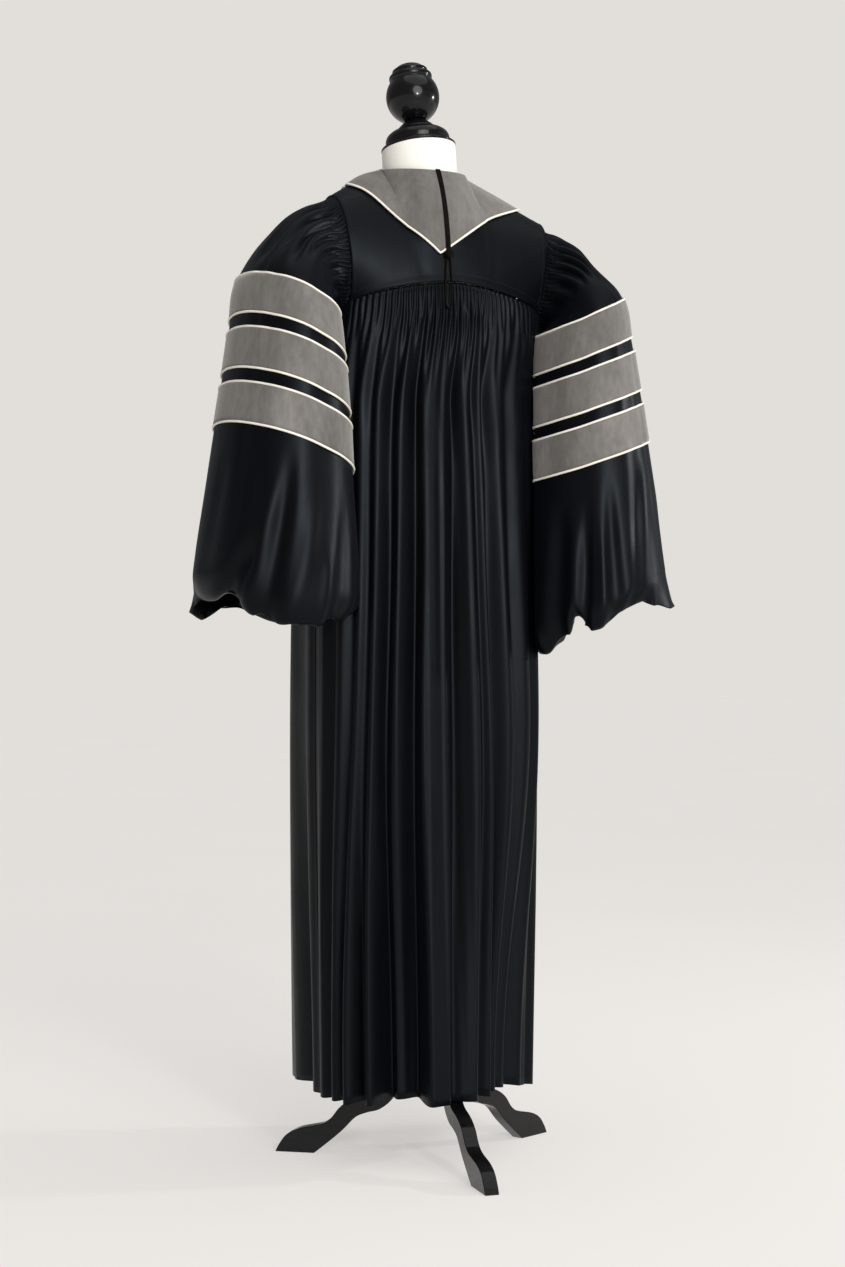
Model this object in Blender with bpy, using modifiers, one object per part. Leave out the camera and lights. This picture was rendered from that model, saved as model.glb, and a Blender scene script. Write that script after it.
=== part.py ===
"""A doctoral graduation gown on a limbless dress form with a wooden tripod stand.

Metres, +Z up, the floor at z = 0. The wearer faces -Y and the wearer's left is +X.
Every cloth piece is a wall on a surface worked out from the gown's sizes:
body_point below the yoke, shoulder_point above it, sleeve_point for the sleeves.
"""

from collections import namedtuple
from math import atan2, cos, degrees, pi, radians, sin, sqrt, tan

import bmesh
import bpy
import numpy as np
from mathutils import Vector

# ---------------------------------------------------------------- driving sizes
CLOTH = 0.0015            # wall of the gown's cloth
VELVET = 0.0014           # wall of the velvet pieces
SEAM_GAP = 0.0005         # clear space between pieces that are sewn edge to edge
LAID_GAP = 0.0015         # clear space under a piece that lies on another
PIPING_R = 0.0014         # radius of the ivory piping

BODY_AXIS_Y = -0.030      # upright line that the body of the gown is drawn round
HEM_Z = 0.100
YOKE_SEAM_Z = 1.287       # yoke seam at the centre of the back
FRONT_NECK_Z = 1.360      # where the two fronts meet
FRONT_NECK_Y = -0.130
FRONT_NECK_BOW = 0.018
SHOULDER_DIP = 0.005

NECK_Y = -0.035           # middle of the neck opening
NECK_Z = 1.455
NECK_HOLE_R = 0.0630
NECK_SIDE_DROP = 0.005

SHOULDER_TIP = (0.165, -0.020, 1.405)
ARMHOLE_Y = -0.020
ARMHOLE_Z = 1.320
ARMHOLE_HALF_DEPTH = 0.065
ARMHOLE_HALF_HEIGHT = 0.085
SEAM_END_TURN = radians(138)  # from the shoulder tip round to the yoke seam's end
BACK_SQUARENESS = 2.8     # exponents of the body's rounded-square sections
FRONT_SQUARENESS = 3.8

V_POINT_Z = 1.330         # lowest point of the velvet V
V_SHOULDER_X = 0.137      # where the V's edge crosses the shoulder seam
BAND_CHEST_X = 0.100      # width of a front band below the chest
NECK_SHARE = 0.50         # share of the top edge that is neckline
FRONT_OPENING = 0.0012    # half the gap between the two fronts

V_TIP_DOWN = 0.022        # the V's ends keep this much height at the shoulder seams
HOOD_CORD_WIDTH = 0.0075
HOOD_CORD_SHARE = 0.90    # of the V's height, down to the button
BRAID = 0.0016
BUTTON_X = -0.0030
BUTTON_Z = 1.3275
LOOP_R = 0.0013
LOOP_POINTS = 27

FLUTES = 20               # cartridge pleats along the yoke seam
FLUTE_DEPTH = 0.0034
FLUTE_REACH = 0.055
GATHER_DEPTH = 0.006      # soft folds that the pleats open into

SHOULDER_SEAM_HALF_GAP = 0.0014
SIDE_SEAM_TURN = radians(0.2)
BESIDE_SEAM = radians(1.4)
SLEEVE_CLEARANCE = 0.0075
SLEEVE_SETTLED_ROW = 1.6  # from here down the sleeve no longer follows the armhole
SLEEVE_COLUMNS = 24
SLEEVE_AXIS_X = 0.245
SLEEVE_AXIS_Y = 0.020

POLE_AT = (-0.012, 0.0)
POLE_R = 0.014
NECK_LEAN = (radians(6), radians(4.5))   # forward, and towards the wearer's left
NECK_TILT_FROM_Z = 1.42
CAP_BASE = (0.0015, -0.0400, 1.5035)
TORSO_COLUMNS = 24
LEG_EDGE = 0.0025
LEG_THICK = 0.021
TRIPOD_TURN = radians(86)

# ---------------------------------------------------------------- short tables
BodyLevel = namedtuple("BodyLevel", "z half_width back front")
BODY = [
    BodyLevel(0.100, 0.168, 0.150, 0.208),
    BodyLevel(0.450, 0.172, 0.138, 0.212),
    BodyLevel(0.800, 0.171, 0.126, 0.206),
    BodyLevel(1.050, 0.168, 0.112, 0.186),
    BodyLevel(1.200, 0.166, 0.102, 0.160),
    BodyLevel(1.300, 0.163, 0.094, 0.138),
]

# Ridges and troughs that run down the body, at three heights: the direction round the
# axis (0 is the centre of the back, + towards the wearer's left) and the inset there.
FOLD_FADE_Z = 1.22        # no long folds above this
FOLD_TOP_Z = 1.12
FOLD_MIDDLE_Z = 0.70
HEM_RISE = 0.15           # the hem is higher in a trough, by this share of its depth
FoldLine = namedtuple("FoldLine", "top_deg top middle_deg middle hem_deg hem")
BACK_FOLDS = [
    FoldLine(-90, 0.003, -90, 0.006, -90, 0.010), FoldLine(-78, 0.000, -77, 0.000, -76, 0.004),
    FoldLine(-71, 0.006, -70, 0.014, -70, 0.022), FoldLine(-65, 0.000, -64, 0.002, -64, 0.030),
    FoldLine(-58, 0.010, -58, 0.020, -57, 0.056), FoldLine(-51, 0.000, -50, 0.003, -50, 0.050),
    FoldLine(-44, 0.012, -44, 0.024, -43, 0.058), FoldLine(-38, 0.000, -37, 0.000, -37, 0.044),
    FoldLine(-30, 0.014, -28, 0.026, -31, 0.050), FoldLine(-24, 0.000, -24, 0.002, -26, 0.026),
    FoldLine(-19, 0.006, -20, 0.010, -19, 0.034), FoldLine(-14, 0.000, -15, 0.000, -11, 0.010),
    FoldLine(-4, 0.014, -2, 0.026, 3, 0.020), FoldLine(6, 0.001, 7, 0.002, 7, 0.004),
    FoldLine(19, 0.000, 19, 0.000, 16, 0.000), FoldLine(27, 0.013, 26, 0.027, 26, 0.048),
    FoldLine(35, 0.000, 36, 0.002, 37, 0.040), FoldLine(42, 0.011, 42, 0.024, 43, 0.052),
    FoldLine(48, 0.000, 48, 0.001, 49, 0.008), FoldLine(52, 0.005, 52, 0.010, 55, 0.030),
    FoldLine(56, 0.000, 56, 0.000, 61, 0.002), FoldLine(61, 0.009, 60, 0.018, 66, 0.020),
    FoldLine(67, 0.000, 66, 0.002, 71, 0.004), FoldLine(73, 0.006, 73, 0.012, 76, 0.016),
    FoldLine(80, 0.000, 80, 0.000, 82, 0.002), FoldLine(90, 0.003, 90, 0.006, 90, 0.010),
]
FRONT_FOLDS = [
    FoldLine(90, 0.003, 90, 0.006, 90, 0.010), FoldLine(99, 0.000, 99, 0.000, 98, 0.006),
    FoldLine(114, 0.006, 114, 0.016, 114, 0.040), FoldLine(128, 0.000, 130, 0.000, 132, 0.004),
    FoldLine(142, 0.001, 143, 0.000, 144, -0.006), FoldLine(150, 0.003, 151, 0.005, 151, 0.008),
    FoldLine(160, 0.000, 161, 0.000, 162, 0.000), FoldLine(180, 0.000, 180, 0.000, 180, 0.000),
]

SleeveRow = namedtuple("SleeveRow", "at outer_x outer_z inner_x inner_z half_depth centre_y")
SLEEVE = [
    SleeveRow(0, 0.166, 1.405, 0.165, 1.225, 0.065, -0.020),
    SleeveRow(1, 0.205, 1.401, 0.172, 1.229, 0.088, -0.014),
    SleeveRow(2, 0.250, 1.357, 0.166, 1.224, 0.108, -0.002),
    SleeveRow(3, 0.293, 1.283, 0.156, 1.218, 0.120, 0.010),
    SleeveRow(4, 0.303, 1.229, 0.150, 1.162, 0.124, 0.015),
    SleeveRow(5, 0.307, 1.205, 0.148, 1.140, 0.126, 0.017),
    SleeveRow(6, 0.316, 1.150, 0.144, 1.083, 0.129, 0.020),
    SleeveRow(7, 0.320, 1.127, 0.142, 1.060, 0.130, 0.021),
    SleeveRow(8, 0.329, 1.073, 0.139, 1.003, 0.133, 0.022),
    SleeveRow(9, 0.344, 0.978, 0.133, 0.915, 0.141, 0.023),
    SleeveRow(10, 0.357, 0.893, 0.130, 0.837, 0.149, 0.023),
    SleeveRow(11, 0.360, 0.850, 0.132, 0.797, 0.150, 0.023),
    SleeveRow(12, 0.344, 0.826, 0.148, 0.774, 0.137, 0.022),
    SleeveRow(13, 0.318, 0.842, 0.172, 0.792, 0.114, 0.020),
]
BAR_ROWS = [(3, 4), (5, 6), (7, 8)]   # the sleeve rows that each bar lies between

SleeveFold = namedtuple("SleeveFold", "turn_deg half_width_deg depth first_row lean_deg")
SLEEVE_FOLDS = [
    SleeveFold(28, 16, 0.010, 8.4, 10), SleeveFold(66, 15, 0.016, 8.2, 16),
    SleeveFold(108, 17, 0.014, 8.8, -12), SleeveFold(205, 18, 0.009, 9.0, 8),
    SleeveFold(262, 17, 0.013, 8.6, -14), SleeveFold(318, 16, 0.015, 8.4, 12),
]
# How much lower each sleeve's hem hangs on its outer and inner side.
HemHang = namedtuple("HemHang", "outer inner")
HEM_HANG = {"left": HemHang(0.002, -0.008), "right": HemHang(-0.008, 0.022)}

TorsoRing = namedtuple("TorsoRing", "z half_width half_depth centre_x centre_y")
TORSO = [
    TorsoRing(0.780, 0.134, 0.094, 0.0, -0.032), TorsoRing(0.860, 0.139, 0.097, 0.0, -0.033),
    TorsoRing(1.020, 0.110, 0.080, 0.0, -0.033), TorsoRing(1.180, 0.128, 0.090, 0.0, -0.038),
    TorsoRing(1.290, 0.128, 0.078, 0.0, -0.034), TorsoRing(1.355, 0.130, 0.058, 0.0, -0.030),
    TorsoRing(1.388, 0.116, 0.048, 0.0, -0.029), TorsoRing(1.416, 0.078, 0.048, 0.0, -0.032),
    TorsoRing(1.436, 0.0585, 0.0540, 0.0, -0.035), TorsoRing(1.465, 0.0560, 0.0555, 0.0005, -0.037),
    TorsoRing(1.503, 0.0550, 0.0550, 0.0015, -0.040),
]

TurnedPoint = namedtuple("TurnedPoint", "radius height")
CAP_PROFILE = [
    TurnedPoint(0.0, 0.0430), TurnedPoint(0.0165, 0.0430), TurnedPoint(0.0190, 0.0405),
    TurnedPoint(0.0250, 0.0355), TurnedPoint(0.0290, 0.0315), TurnedPoint(0.0290, 0.0290),
    TurnedPoint(0.0380, 0.0270), TurnedPoint(0.0455, 0.0215), TurnedPoint(0.0485, 0.0145),
    TurnedPoint(0.0475, 0.0080), TurnedPoint(0.0485, 0.0048), TurnedPoint(0.0560, 0.0040),
    TurnedPoint(0.0560, 0.0), TurnedPoint(0.0, 0.0),
]
FINIAL_TOP = [
    TurnedPoint(0.0, 0.1270), TurnedPoint(0.0120, 0.1258), TurnedPoint(0.0195, 0.1220),
    TurnedPoint(0.0235, 0.1165), TurnedPoint(0.0240, 0.1140), TurnedPoint(0.0300, 0.1128),
    TurnedPoint(0.0315, 0.1100), TurnedPoint(0.0305, 0.1070),
]
BUTTON_R = 0.0070
BUTTON_PROFILE = [
    TurnedPoint(0.0, 0.0062), TurnedPoint(0.0035, 0.0056), TurnedPoint(0.0058, 0.0040),
    TurnedPoint(BUTTON_R, 0.0018), TurnedPoint(0.0064, 0.0), TurnedPoint(0.0, 0.0),
]
HUB_PROFILE = [
    TurnedPoint(0.0, 0.330), TurnedPoint(0.018, 0.330), TurnedPoint(0.022, 0.318),
    TurnedPoint(0.019, 0.300), TurnedPoint(0.026, 0.275), TurnedPoint(0.032, 0.240),
    TurnedPoint(0.032, 0.130), TurnedPoint(0.024, 0.112), TurnedPoint(0.014, 0.104),
    TurnedPoint(0.0, 0.104),
]
# The route of the cord's loop from the button down and up again.
LoopPoint = namedtuple("LoopPoint", "at x below_button")
LOOP_ROUTE = [
    LoopPoint(0, -0.0032, 0.0000), LoopPoint(1, -0.0040, 0.0140), LoopPoint(2, -0.0046, 0.0290),
    LoopPoint(3, -0.0052, 0.0450), LoopPoint(4, -0.0050, 0.0600), LoopPoint(5, -0.0036, 0.0684),
    LoopPoint(5.5, -0.0019, 0.0708), LoopPoint(6, 0.0003, 0.0716), LoopPoint(6.5, 0.0024, 0.0706),
    LoopPoint(7, 0.0041, 0.0680), LoopPoint(8, 0.0053, 0.0590), LoopPoint(9, 0.0052, 0.0440),
    LoopPoint(10, 0.0045, 0.0280), LoopPoint(11, 0.0039, 0.0130), LoopPoint(12, 0.0031, 0.0000),
]
BALL_R = 0.0400
BALL_UP = 0.0800          # ball centre above the cap's base, along the leaning axis

# Side view of a leg: how far out from the pole, and how high.
LegPoint = namedtuple("LegPoint", "out up")
LEG_OUTLINE = [
    LegPoint(0.0330, 0.226), LegPoint(0.0500, 0.206), LegPoint(0.0640, 0.168),
    LegPoint(0.0740, 0.130), LegPoint(0.0850, 0.106), LegPoint(0.0980, 0.0935),
    LegPoint(0.1200, 0.086), LegPoint(0.1350, 0.079), LegPoint(0.1480, 0.069),
    LegPoint(0.1610, 0.053), LegPoint(0.1765, 0.044), LegPoint(0.2106, 0.036),
    LegPoint(0.2294, 0.026), LegPoint(0.2403, 0.012), LegPoint(0.2466, 0.0),
    LegPoint(0.1865, 0.0), LegPoint(0.1650, 0.017), LegPoint(0.1439, 0.035),
    LegPoint(0.1230, 0.056), LegPoint(0.1050, 0.064), LegPoint(0.0850, 0.070),
    LegPoint(0.0660, 0.086), LegPoint(0.0540, 0.112), LegPoint(0.0460, 0.138),
    LegPoint(0.0330, 0.152),
]

# ---------------------------------------------------------------- reading tables


def read(rows, key, column, at):
    """A smooth curve through one column of a table, read at one place of its key."""
    places = np.array([getattr(row, key) for row in rows], float)
    values = np.array([getattr(row, column) for row in rows], float)
    slopes = np.gradient(values, places)
    i = int(np.clip(np.searchsorted(places, at) - 1, 0, len(rows) - 2))
    step = places[i + 1] - places[i]
    f = min(max((at - places[i]) / step, 0.0), 1.0)
    start = values[i] * (1 + 2 * f) * (1 - f) ** 2 + slopes[i] * step * f * (1 - f) ** 2
    end = values[i + 1] * f * f * (3 - 2 * f) + slopes[i + 1] * step * f * f * (f - 1)
    return float(start + end)


def ease(f):
    """0 below 0, 1 above 1, smooth between."""
    f = min(max(f, 0.0), 1.0)
    return f * f * (3 - 2 * f)


# ---------------------------------------------------------------- body below the yoke


def body_radius(turn, z):
    """From the body's axis to its rounded-square section, in one direction."""
    half_width = read(BODY, "z", "half_width", z)
    depth = read(BODY, "z", "back" if cos(turn) > 0 else "front", z)
    squareness = BACK_SQUARENESS if cos(turn) > 0 else FRONT_SQUARENESS
    across = (abs(sin(turn)) / half_width) ** squareness
    along = (abs(cos(turn)) / depth) ** squareness
    return (across + along) ** (-1 / squareness)


def body_outline(turn, z, inset=0.0):
    r = body_radius(turn, z) - inset
    return Vector((r * sin(turn), BODY_AXIS_Y + r * cos(turn), z))


def turn_where_y_is(y):
    """The direction round the left half of the body where its outline is at this y."""
    low, high = 0.0, pi
    for _ in range(40):
        middle = (low + high) / 2
        if body_outline(middle, YOKE_SEAM_Z).y > y:
            low = middle
        else:
            high = middle
    return (low + high) / 2


ARMHOLE_REACH = ARMHOLE_HALF_DEPTH * sin(SEAM_END_TURN)
BACK_END = turn_where_y_is(ARMHOLE_Y + ARMHOLE_REACH)
FRONT_END = turn_where_y_is(ARMHOLE_Y - ARMHOLE_REACH)
SEAM_END_Z = ARMHOLE_Z + ARMHOLE_HALF_HEIGHT * cos(SEAM_END_TURN)


def body_top(turn):
    """Height of the top edge of the body: yoke seam, armhole, then the chest line."""
    turn = abs(turn)
    if turn < BACK_END:
        return YOKE_SEAM_Z + (SEAM_END_Z - YOKE_SEAM_Z) * (turn / BACK_END) ** 2
    if turn > FRONT_END:
        return SEAM_END_Z
    off = (body_outline(turn, YOKE_SEAM_Z).y - ARMHOLE_Y) / ARMHOLE_HALF_DEPTH
    return ARMHOLE_Z - ARMHOLE_HALF_HEIGHT * sqrt(max(0.0, 1 - off * off))


def fold_line_at(line, z):
    """Direction and inset of one ridge or trough at a height."""
    if z > FOLD_TOP_Z:
        shown = ease((FOLD_FADE_Z - z) / (FOLD_FADE_Z - FOLD_TOP_Z))
        return line.top_deg, line.top * shown
    if z > FOLD_MIDDLE_Z:
        f = ease((FOLD_TOP_Z - z) / (FOLD_TOP_Z - FOLD_MIDDLE_Z))
        deg = line.top_deg + (line.middle_deg - line.top_deg) * f
        return deg, line.top + (line.middle - line.top) * f
    f = ease((FOLD_MIDDLE_Z - z) / (FOLD_MIDDLE_Z - HEM_Z))
    deg = line.middle_deg + (line.hem_deg - line.middle_deg) * f
    return deg, line.middle + (line.hem - line.middle) * f


def fold_inset(turn, z):
    """How far the long folds cut in from the body's outline."""
    at = degrees(turn)
    lines = BACK_FOLDS
    if abs(at) > 90:
        at = min(abs(at), 180.0)
        lines = FRONT_FOLDS
    spots = [fold_line_at(line, z) for line in lines]
    for (deg, inset), (next_deg, next_inset) in zip(spots, spots[1:]):
        if deg <= at <= next_deg:
            f = 0.5 - 0.5 * cos(pi * (at - deg) / (next_deg - deg))
            return inset + (next_inset - inset) * f
    return 0.0


def pleat_inset(turn, below_seam):
    """How far the cartridge pleats and the gathers below them cut in."""
    if abs(turn) > BACK_END:
        return 0.0
    wave = turn / BACK_END * FLUTES * pi
    edge = ease((BACK_END - abs(turn)) / 0.12)
    flutes = FLUTE_DEPTH * (1 - ease((below_seam - 0.02) / FLUTE_REACH))
    gathers = GATHER_DEPTH * ease(below_seam / 0.06) * (1 - ease((below_seam - 0.08) / 0.22))
    flute_wave = 0.5 - 0.5 * cos(wave)
    gather_wave = 0.5 - 0.5 * cos(wave / 2 + 0.6 * sin(3 * turn))
    return edge * (flutes * flute_wave + gathers * gather_wave)


def body_point(turn, down, top_gap=0.0):
    """A point of the body: down runs from 0 at its top edge to 1 at the hem."""
    top = body_top(turn) - top_gap
    hem = HEM_Z + HEM_RISE * fold_inset(turn, HEM_Z)
    z = top + (hem - top) * down
    inset = fold_inset(turn, z) + pleat_inset(turn, top - z)
    return body_outline(turn, z, inset)


# ---------------------------------------------------------------- yoke and shoulders


def armhole_point(turn):
    """The armhole's edge: turn is 0 at the shoulder tip, pi at the underarm, + to the back."""
    turn = (turn + pi) % (2 * pi) - pi
    y = ARMHOLE_Y + ARMHOLE_HALF_DEPTH * sin(turn)
    z = ARMHOLE_Z + ARMHOLE_HALF_HEIGHT * cos(turn)
    on_body = max(abs(turn), SEAM_END_TURN)
    y_on_body = ARMHOLE_Y + ARMHOLE_HALF_DEPTH * sin(on_body) * (1 if turn >= 0 else -1)
    x = body_outline(turn_where_y_is(y_on_body), YOKE_SEAM_Z).x
    rise = 1 - ease(abs(turn) / SEAM_END_TURN)
    return Vector((x + (SHOULDER_TIP[0] - x) * rise, y, z))


def top_edge(across, back):
    """From the middle of the neckline (0) past the neck's side to the shoulder tip (1)."""
    side = Vector((NECK_HOLE_R, NECK_Y, NECK_Z - NECK_SIDE_DROP))
    if across >= NECK_SHARE:
        f = (across - NECK_SHARE) / (1 - NECK_SHARE)
        point = side.lerp(Vector(SHOULDER_TIP), f)
        point.z -= SHOULDER_DIP * sin(pi * f)
        return point
    f = across / NECK_SHARE
    if back:
        x = NECK_HOLE_R * sin(f * pi / 2)
        y = NECK_Y + NECK_HOLE_R * cos(f * pi / 2)
        return Vector((x, y, NECK_Z - NECK_SIDE_DROP * (1 - cos(f * pi / 2))))
    point = Vector((0.0, FRONT_NECK_Y, FRONT_NECK_Z)).lerp(side, f)
    point.x += FRONT_NECK_BOW * sin(pi * f)
    point.y -= FRONT_NECK_BOW * sin(pi * f)
    return point


def plain_shoulder(across, down, back):
    """One arc from the top edge down to the yoke seam or the chest line."""
    start = top_edge(across, back)
    turn = BACK_END * across if back else pi + (FRONT_END - pi) * across
    end = body_outline(turn, body_top(turn))
    control = start.lerp(end, 0.5)
    control.y = start.y + (end.y - start.y) * 0.92
    control.z = start.z + (end.z - start.z) * 0.30
    return (1 - down) ** 2 * start + 2 * down * (1 - down) * control + down ** 2 * end


def shoulder_point(across, down, back):
    """A point above the seam line, on the wearer's left; down is 0 at the top edge.

    Towards the side the arcs bend over to the armhole's own curve.
    """
    end_turn = SEAM_END_TURN if back else -SEAM_END_TURN
    to_armhole = armhole_point(end_turn * down) - plain_shoulder(1.0, down, back)
    share = max(0.0, (across - 0.5) / 0.5) ** 2
    point = plain_shoulder(across, down, back) + to_armhole * share
    point.y += SHOULDER_SEAM_HALF_GAP * (1 - down) ** 3 * (1 if back else -1)
    return point


# ---------------------------------------------------------------- sleeves


def sleeve_fold_inset(turn, row):
    inset = 0.0
    for fold in SLEEVE_FOLDS:
        middle = fold.turn_deg + fold.lean_deg * (row - fold.first_row) / 4
        off = (degrees(turn) - middle + 180) % 360 - 180
        if abs(off) < fold.half_width_deg:
            shape = cos(off / fold.half_width_deg * pi / 2) ** 2
            inset += fold.depth * shape * ease((row - fold.first_row) / 2.5)
    return inset


def pushed_off_body(point):
    """The point, moved out to where it clears the side of the body."""
    dx, dy = point.x, point.y - BODY_AXIS_Y
    distance = sqrt(dx * dx + dy * dy)
    least = body_radius(atan2(dx, dy), min(point.z, YOKE_SEAM_Z)) + SLEEVE_CLEARANCE
    grow = max(1.0, least / distance)
    return Vector((dx * grow, BODY_AXIS_Y + dy * grow, point.z))


def sleeve_point(turn, row, side):
    """A point of a sleeve, as on the left: turn is 0 on its outer side, + to the back."""
    outer_x = read(SLEEVE, "at", "outer_x", row)
    outer_z = read(SLEEVE, "at", "outer_z", row)
    inner_x = read(SLEEVE, "at", "inner_x", row)
    inner_z = read(SLEEVE, "at", "inner_z", row)
    half_depth = read(SLEEVE, "at", "half_depth", row)
    share = 1 - sleeve_fold_inset(turn, row) / half_depth
    x = (outer_x + inner_x) / 2 + (outer_x - inner_x) / 2 * cos(turn) * share
    y = read(SLEEVE, "at", "centre_y", row) + half_depth * sin(turn) * share
    z = (outer_z + inner_z) / 2 + (outer_z - inner_z) / 2 * cos(turn)
    hang = HEM_HANG[side]
    low = (hang.outer + hang.inner) / 2 + (hang.outer - hang.inner) / 2 * cos(turn)
    z -= low * ease((row - 8) / 4)
    start = armhole_point(turn)
    start.x += SEAM_GAP + CLOTH
    return start.lerp(pushed_off_body(Vector((x, y, z))), ease(row / SLEEVE_SETTLED_ROW))


# ---------------------------------------------------------------- making pieces


def collection(name):
    made = bpy.data.collections.new(name)
    bpy.context.scene.collection.children.link(made)
    return made


def material(name, colour, roughness, metallic=0.0):
    made = bpy.data.materials.new(name)
    made.use_nodes = True
    shader = made.node_tree.nodes["Principled BSDF"]
    shader.inputs["Base Color"].default_value = (*colour, 1.0)
    shader.inputs["Roughness"].default_value = roughness
    shader.inputs["Metallic"].default_value = metallic
    return made


def add_object(name, data, finish):
    made = bpy.data.objects.new(name, data)
    made.data.materials.append(finish)
    GOWN.objects.link(made)
    return made


def mirrored(point):
    return Vector((-point.x, point.y, point.z))


def sided(rows, side):
    """Rows of points on the wearer's left, or their mirror image for the right."""
    return rows if side == "left" else [[mirrored(p) for p in row] for row in rows]


def normals_of(rows, closed):
    """Unit normals of a grid of points, from its neighbours along both directions."""
    grid = np.array([[tuple(p) for p in row] for row in rows])
    down = np.gradient(grid, axis=0)
    if closed:
        across = np.roll(grid, -1, axis=1) - np.roll(grid, 1, axis=1)
    else:
        across = np.gradient(grid, axis=1)
    normal = np.cross(down, across)
    length = np.linalg.norm(normal, axis=2, keepdims=True)
    return normal / np.maximum(length, 1e-9)


def outward(rows, closed, axis):
    """Normals that point away from an upright axis."""
    normal = normals_of(rows, closed)
    grid = np.array([[tuple(p) for p in row] for row in rows])
    away = grid[..., :2] - np.array(axis)
    if np.sum(normal[..., :2] * away) < 0:
        normal = -normal
    return normal


def moved_out(rows, distance, axis, closed=False):
    normal = outward(rows, closed, axis)
    return [
        [p + distance * Vector(n) for p, n in zip(row, line)] for row, line in zip(rows, normal)
    ]


def cloth_wall(name, patches, wall, finish, axis, closed=False):
    """A shell of one or more grids of points, thickened inwards from its outer face."""
    shape = bmesh.new()
    for rows in patches:
        grid = [[shape.verts.new(p) for p in row] for row in rows]
        count = len(rows[0])
        steps = range(count if closed else count - 1)
        flip = np.sum(normals_of(rows, closed) * outward(rows, closed, axis)) > 0
        for upper, lower in zip(grid, grid[1:]):
            for i in steps:
                j = (i + 1) % count
                corners = [upper[i], lower[i], lower[j], upper[j]]
                shape.faces.new(corners if flip else corners[::-1])
    bmesh.ops.remove_doubles(shape, verts=shape.verts, dist=1e-5)
    mesh = bpy.data.meshes.new(name)
    shape.to_mesh(mesh)
    shape.free()
    mesh.shade_smooth()
    made = add_object(name, mesh, finish)
    shell = made.modifiers.new("Wall", "SOLIDIFY")
    shell.thickness = wall
    shell.offset = -1.0
    return made


def round_strip(name, points, radius, finish, closed=False, sides=1):
    """A round cord through points."""
    curve = bpy.data.curves.new(name, "CURVE")
    curve.dimensions = "3D"
    curve.bevel_depth = radius
    curve.bevel_resolution = sides
    curve.use_fill_caps = True
    line = curve.splines.new("POLY")
    line.points.add(len(points) - 1)
    for spot, point in zip(line.points, points):
        spot.co = (*point, 1.0)
    line.use_cyclic_u = closed
    return add_object(name, curve, finish)


def turned(name, profile, place, rotation, finish, steps=20):
    """A turned piece: its profile spun round an axis, then set at an angle."""
    mesh = bpy.data.meshes.new(name)
    corners = [(p.radius, 0.0, p.height) for p in profile]
    mesh.from_pydata(corners, [(i, i + 1) for i in range(len(corners) - 1)], [])
    made = add_object(name, mesh, finish)
    spin = made.modifiers.new("Turn", "SCREW")
    spin.steps = steps
    spin.render_steps = steps
    spin.use_merge_vertices = True
    spin.merge_threshold = 0.00005
    spin.use_smooth_shade = True
    made.location = place
    made.rotation_euler = rotation
    return made


def spread(start, end, count):
    return [start + (end - start) * i / (count - 1) for i in range(count)]


# ---------------------------------------------------------------- gown


def body_columns():
    """Directions across the back panel: three to a cartridge pleat, wider past the seam."""
    middle = spread(-BACK_END, BACK_END, 3 * FLUTES + 1)
    left = spread(BACK_END, pi / 2 - BESIDE_SEAM, 5)[1:] + [pi / 2 - SIDE_SEAM_TURN]
    return [-t for t in reversed(left)] + middle + left


BACK_ROWS = [0.0, 0.035, 0.075, 0.14, 0.25, 0.40, 0.60, 0.80, 1.0]
FRONT_ROWS = [0.0, 0.07, 0.15, 0.27, 0.42, 0.60, 0.80, 1.0]
SHOULDER_ROWS = [0.0, 0.09, 0.19, 0.31, 0.45, 0.61, 0.80, 1.0]
SHOULDER_COLUMNS = spread(0.0, 1.0, 13)


def make_back_panel():
    rows = [[body_point(t, v, SEAM_GAP) for t in body_columns()] for v in BACK_ROWS]
    return cloth_wall("back_panel", [rows], CLOTH, BLACK, (0.0, BODY_AXIS_Y))


def make_back_yoke():
    lower_edge = 1 - SEAM_GAP / (NECK_Z - YOKE_SEAM_Z)
    rows = []
    for v in SHOULDER_ROWS:
        left = [shoulder_point(g, v * lower_edge, True) for g in SHOULDER_COLUMNS]
        rows.append([mirrored(p) for p in reversed(left[1:])] + left)
    return cloth_wall("back_yoke", [rows], CLOTH, BLACK, (0.0, BODY_AXIS_Y))


def clear_of_opening(point):
    point.x = max(point.x, FRONT_OPENING)
    return point


def sleeve_turns():
    return [2 * pi * i / SLEEVE_COLUMNS for i in range(SLEEVE_COLUMNS)]


def sleeve_rows(places, side):
    rows = [[sleeve_point(turn, row, side) for turn in sleeve_turns()] for row in places]
    return sided(rows, side)


def sleeve_axis(side):
    return (SLEEVE_AXIS_X if side == "left" else -SLEEVE_AXIS_X, SLEEVE_AXIS_Y)


def make_sleeve(side):
    rows = sleeve_rows([0, 0.6, 1.2, 2, 3, 4, 5, 6, 7, 8, 9, 10, 11, 12, 13], side)
    return cloth_wall(f"sleeve_{side}", [rows], CLOTH, BLACK, sleeve_axis(side), closed=True)


def make_sleeve_bar(side, number, upper, lower):
    """A velvet bar round the sleeve, made on the sleeve's own points and moved out."""
    rows = sleeve_rows([upper, lower], side)
    rows = moved_out(rows, LAID_GAP + VELVET, sleeve_axis(side), closed=True)
    name = f"sleeve_bar_{side}_{number}"
    cloth_wall(name, [rows], VELVET, GREY, sleeve_axis(side), closed=True)
    for edge, line, other in (("top", rows[0], rows[1]), ("bottom", rows[1], rows[0])):
        name = f"sleeve_piping_{side}_{number}_{edge}"
        round_strip(name, beside(line, other, True), PIPING_R, IVORY, closed=True, sides=0)


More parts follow.
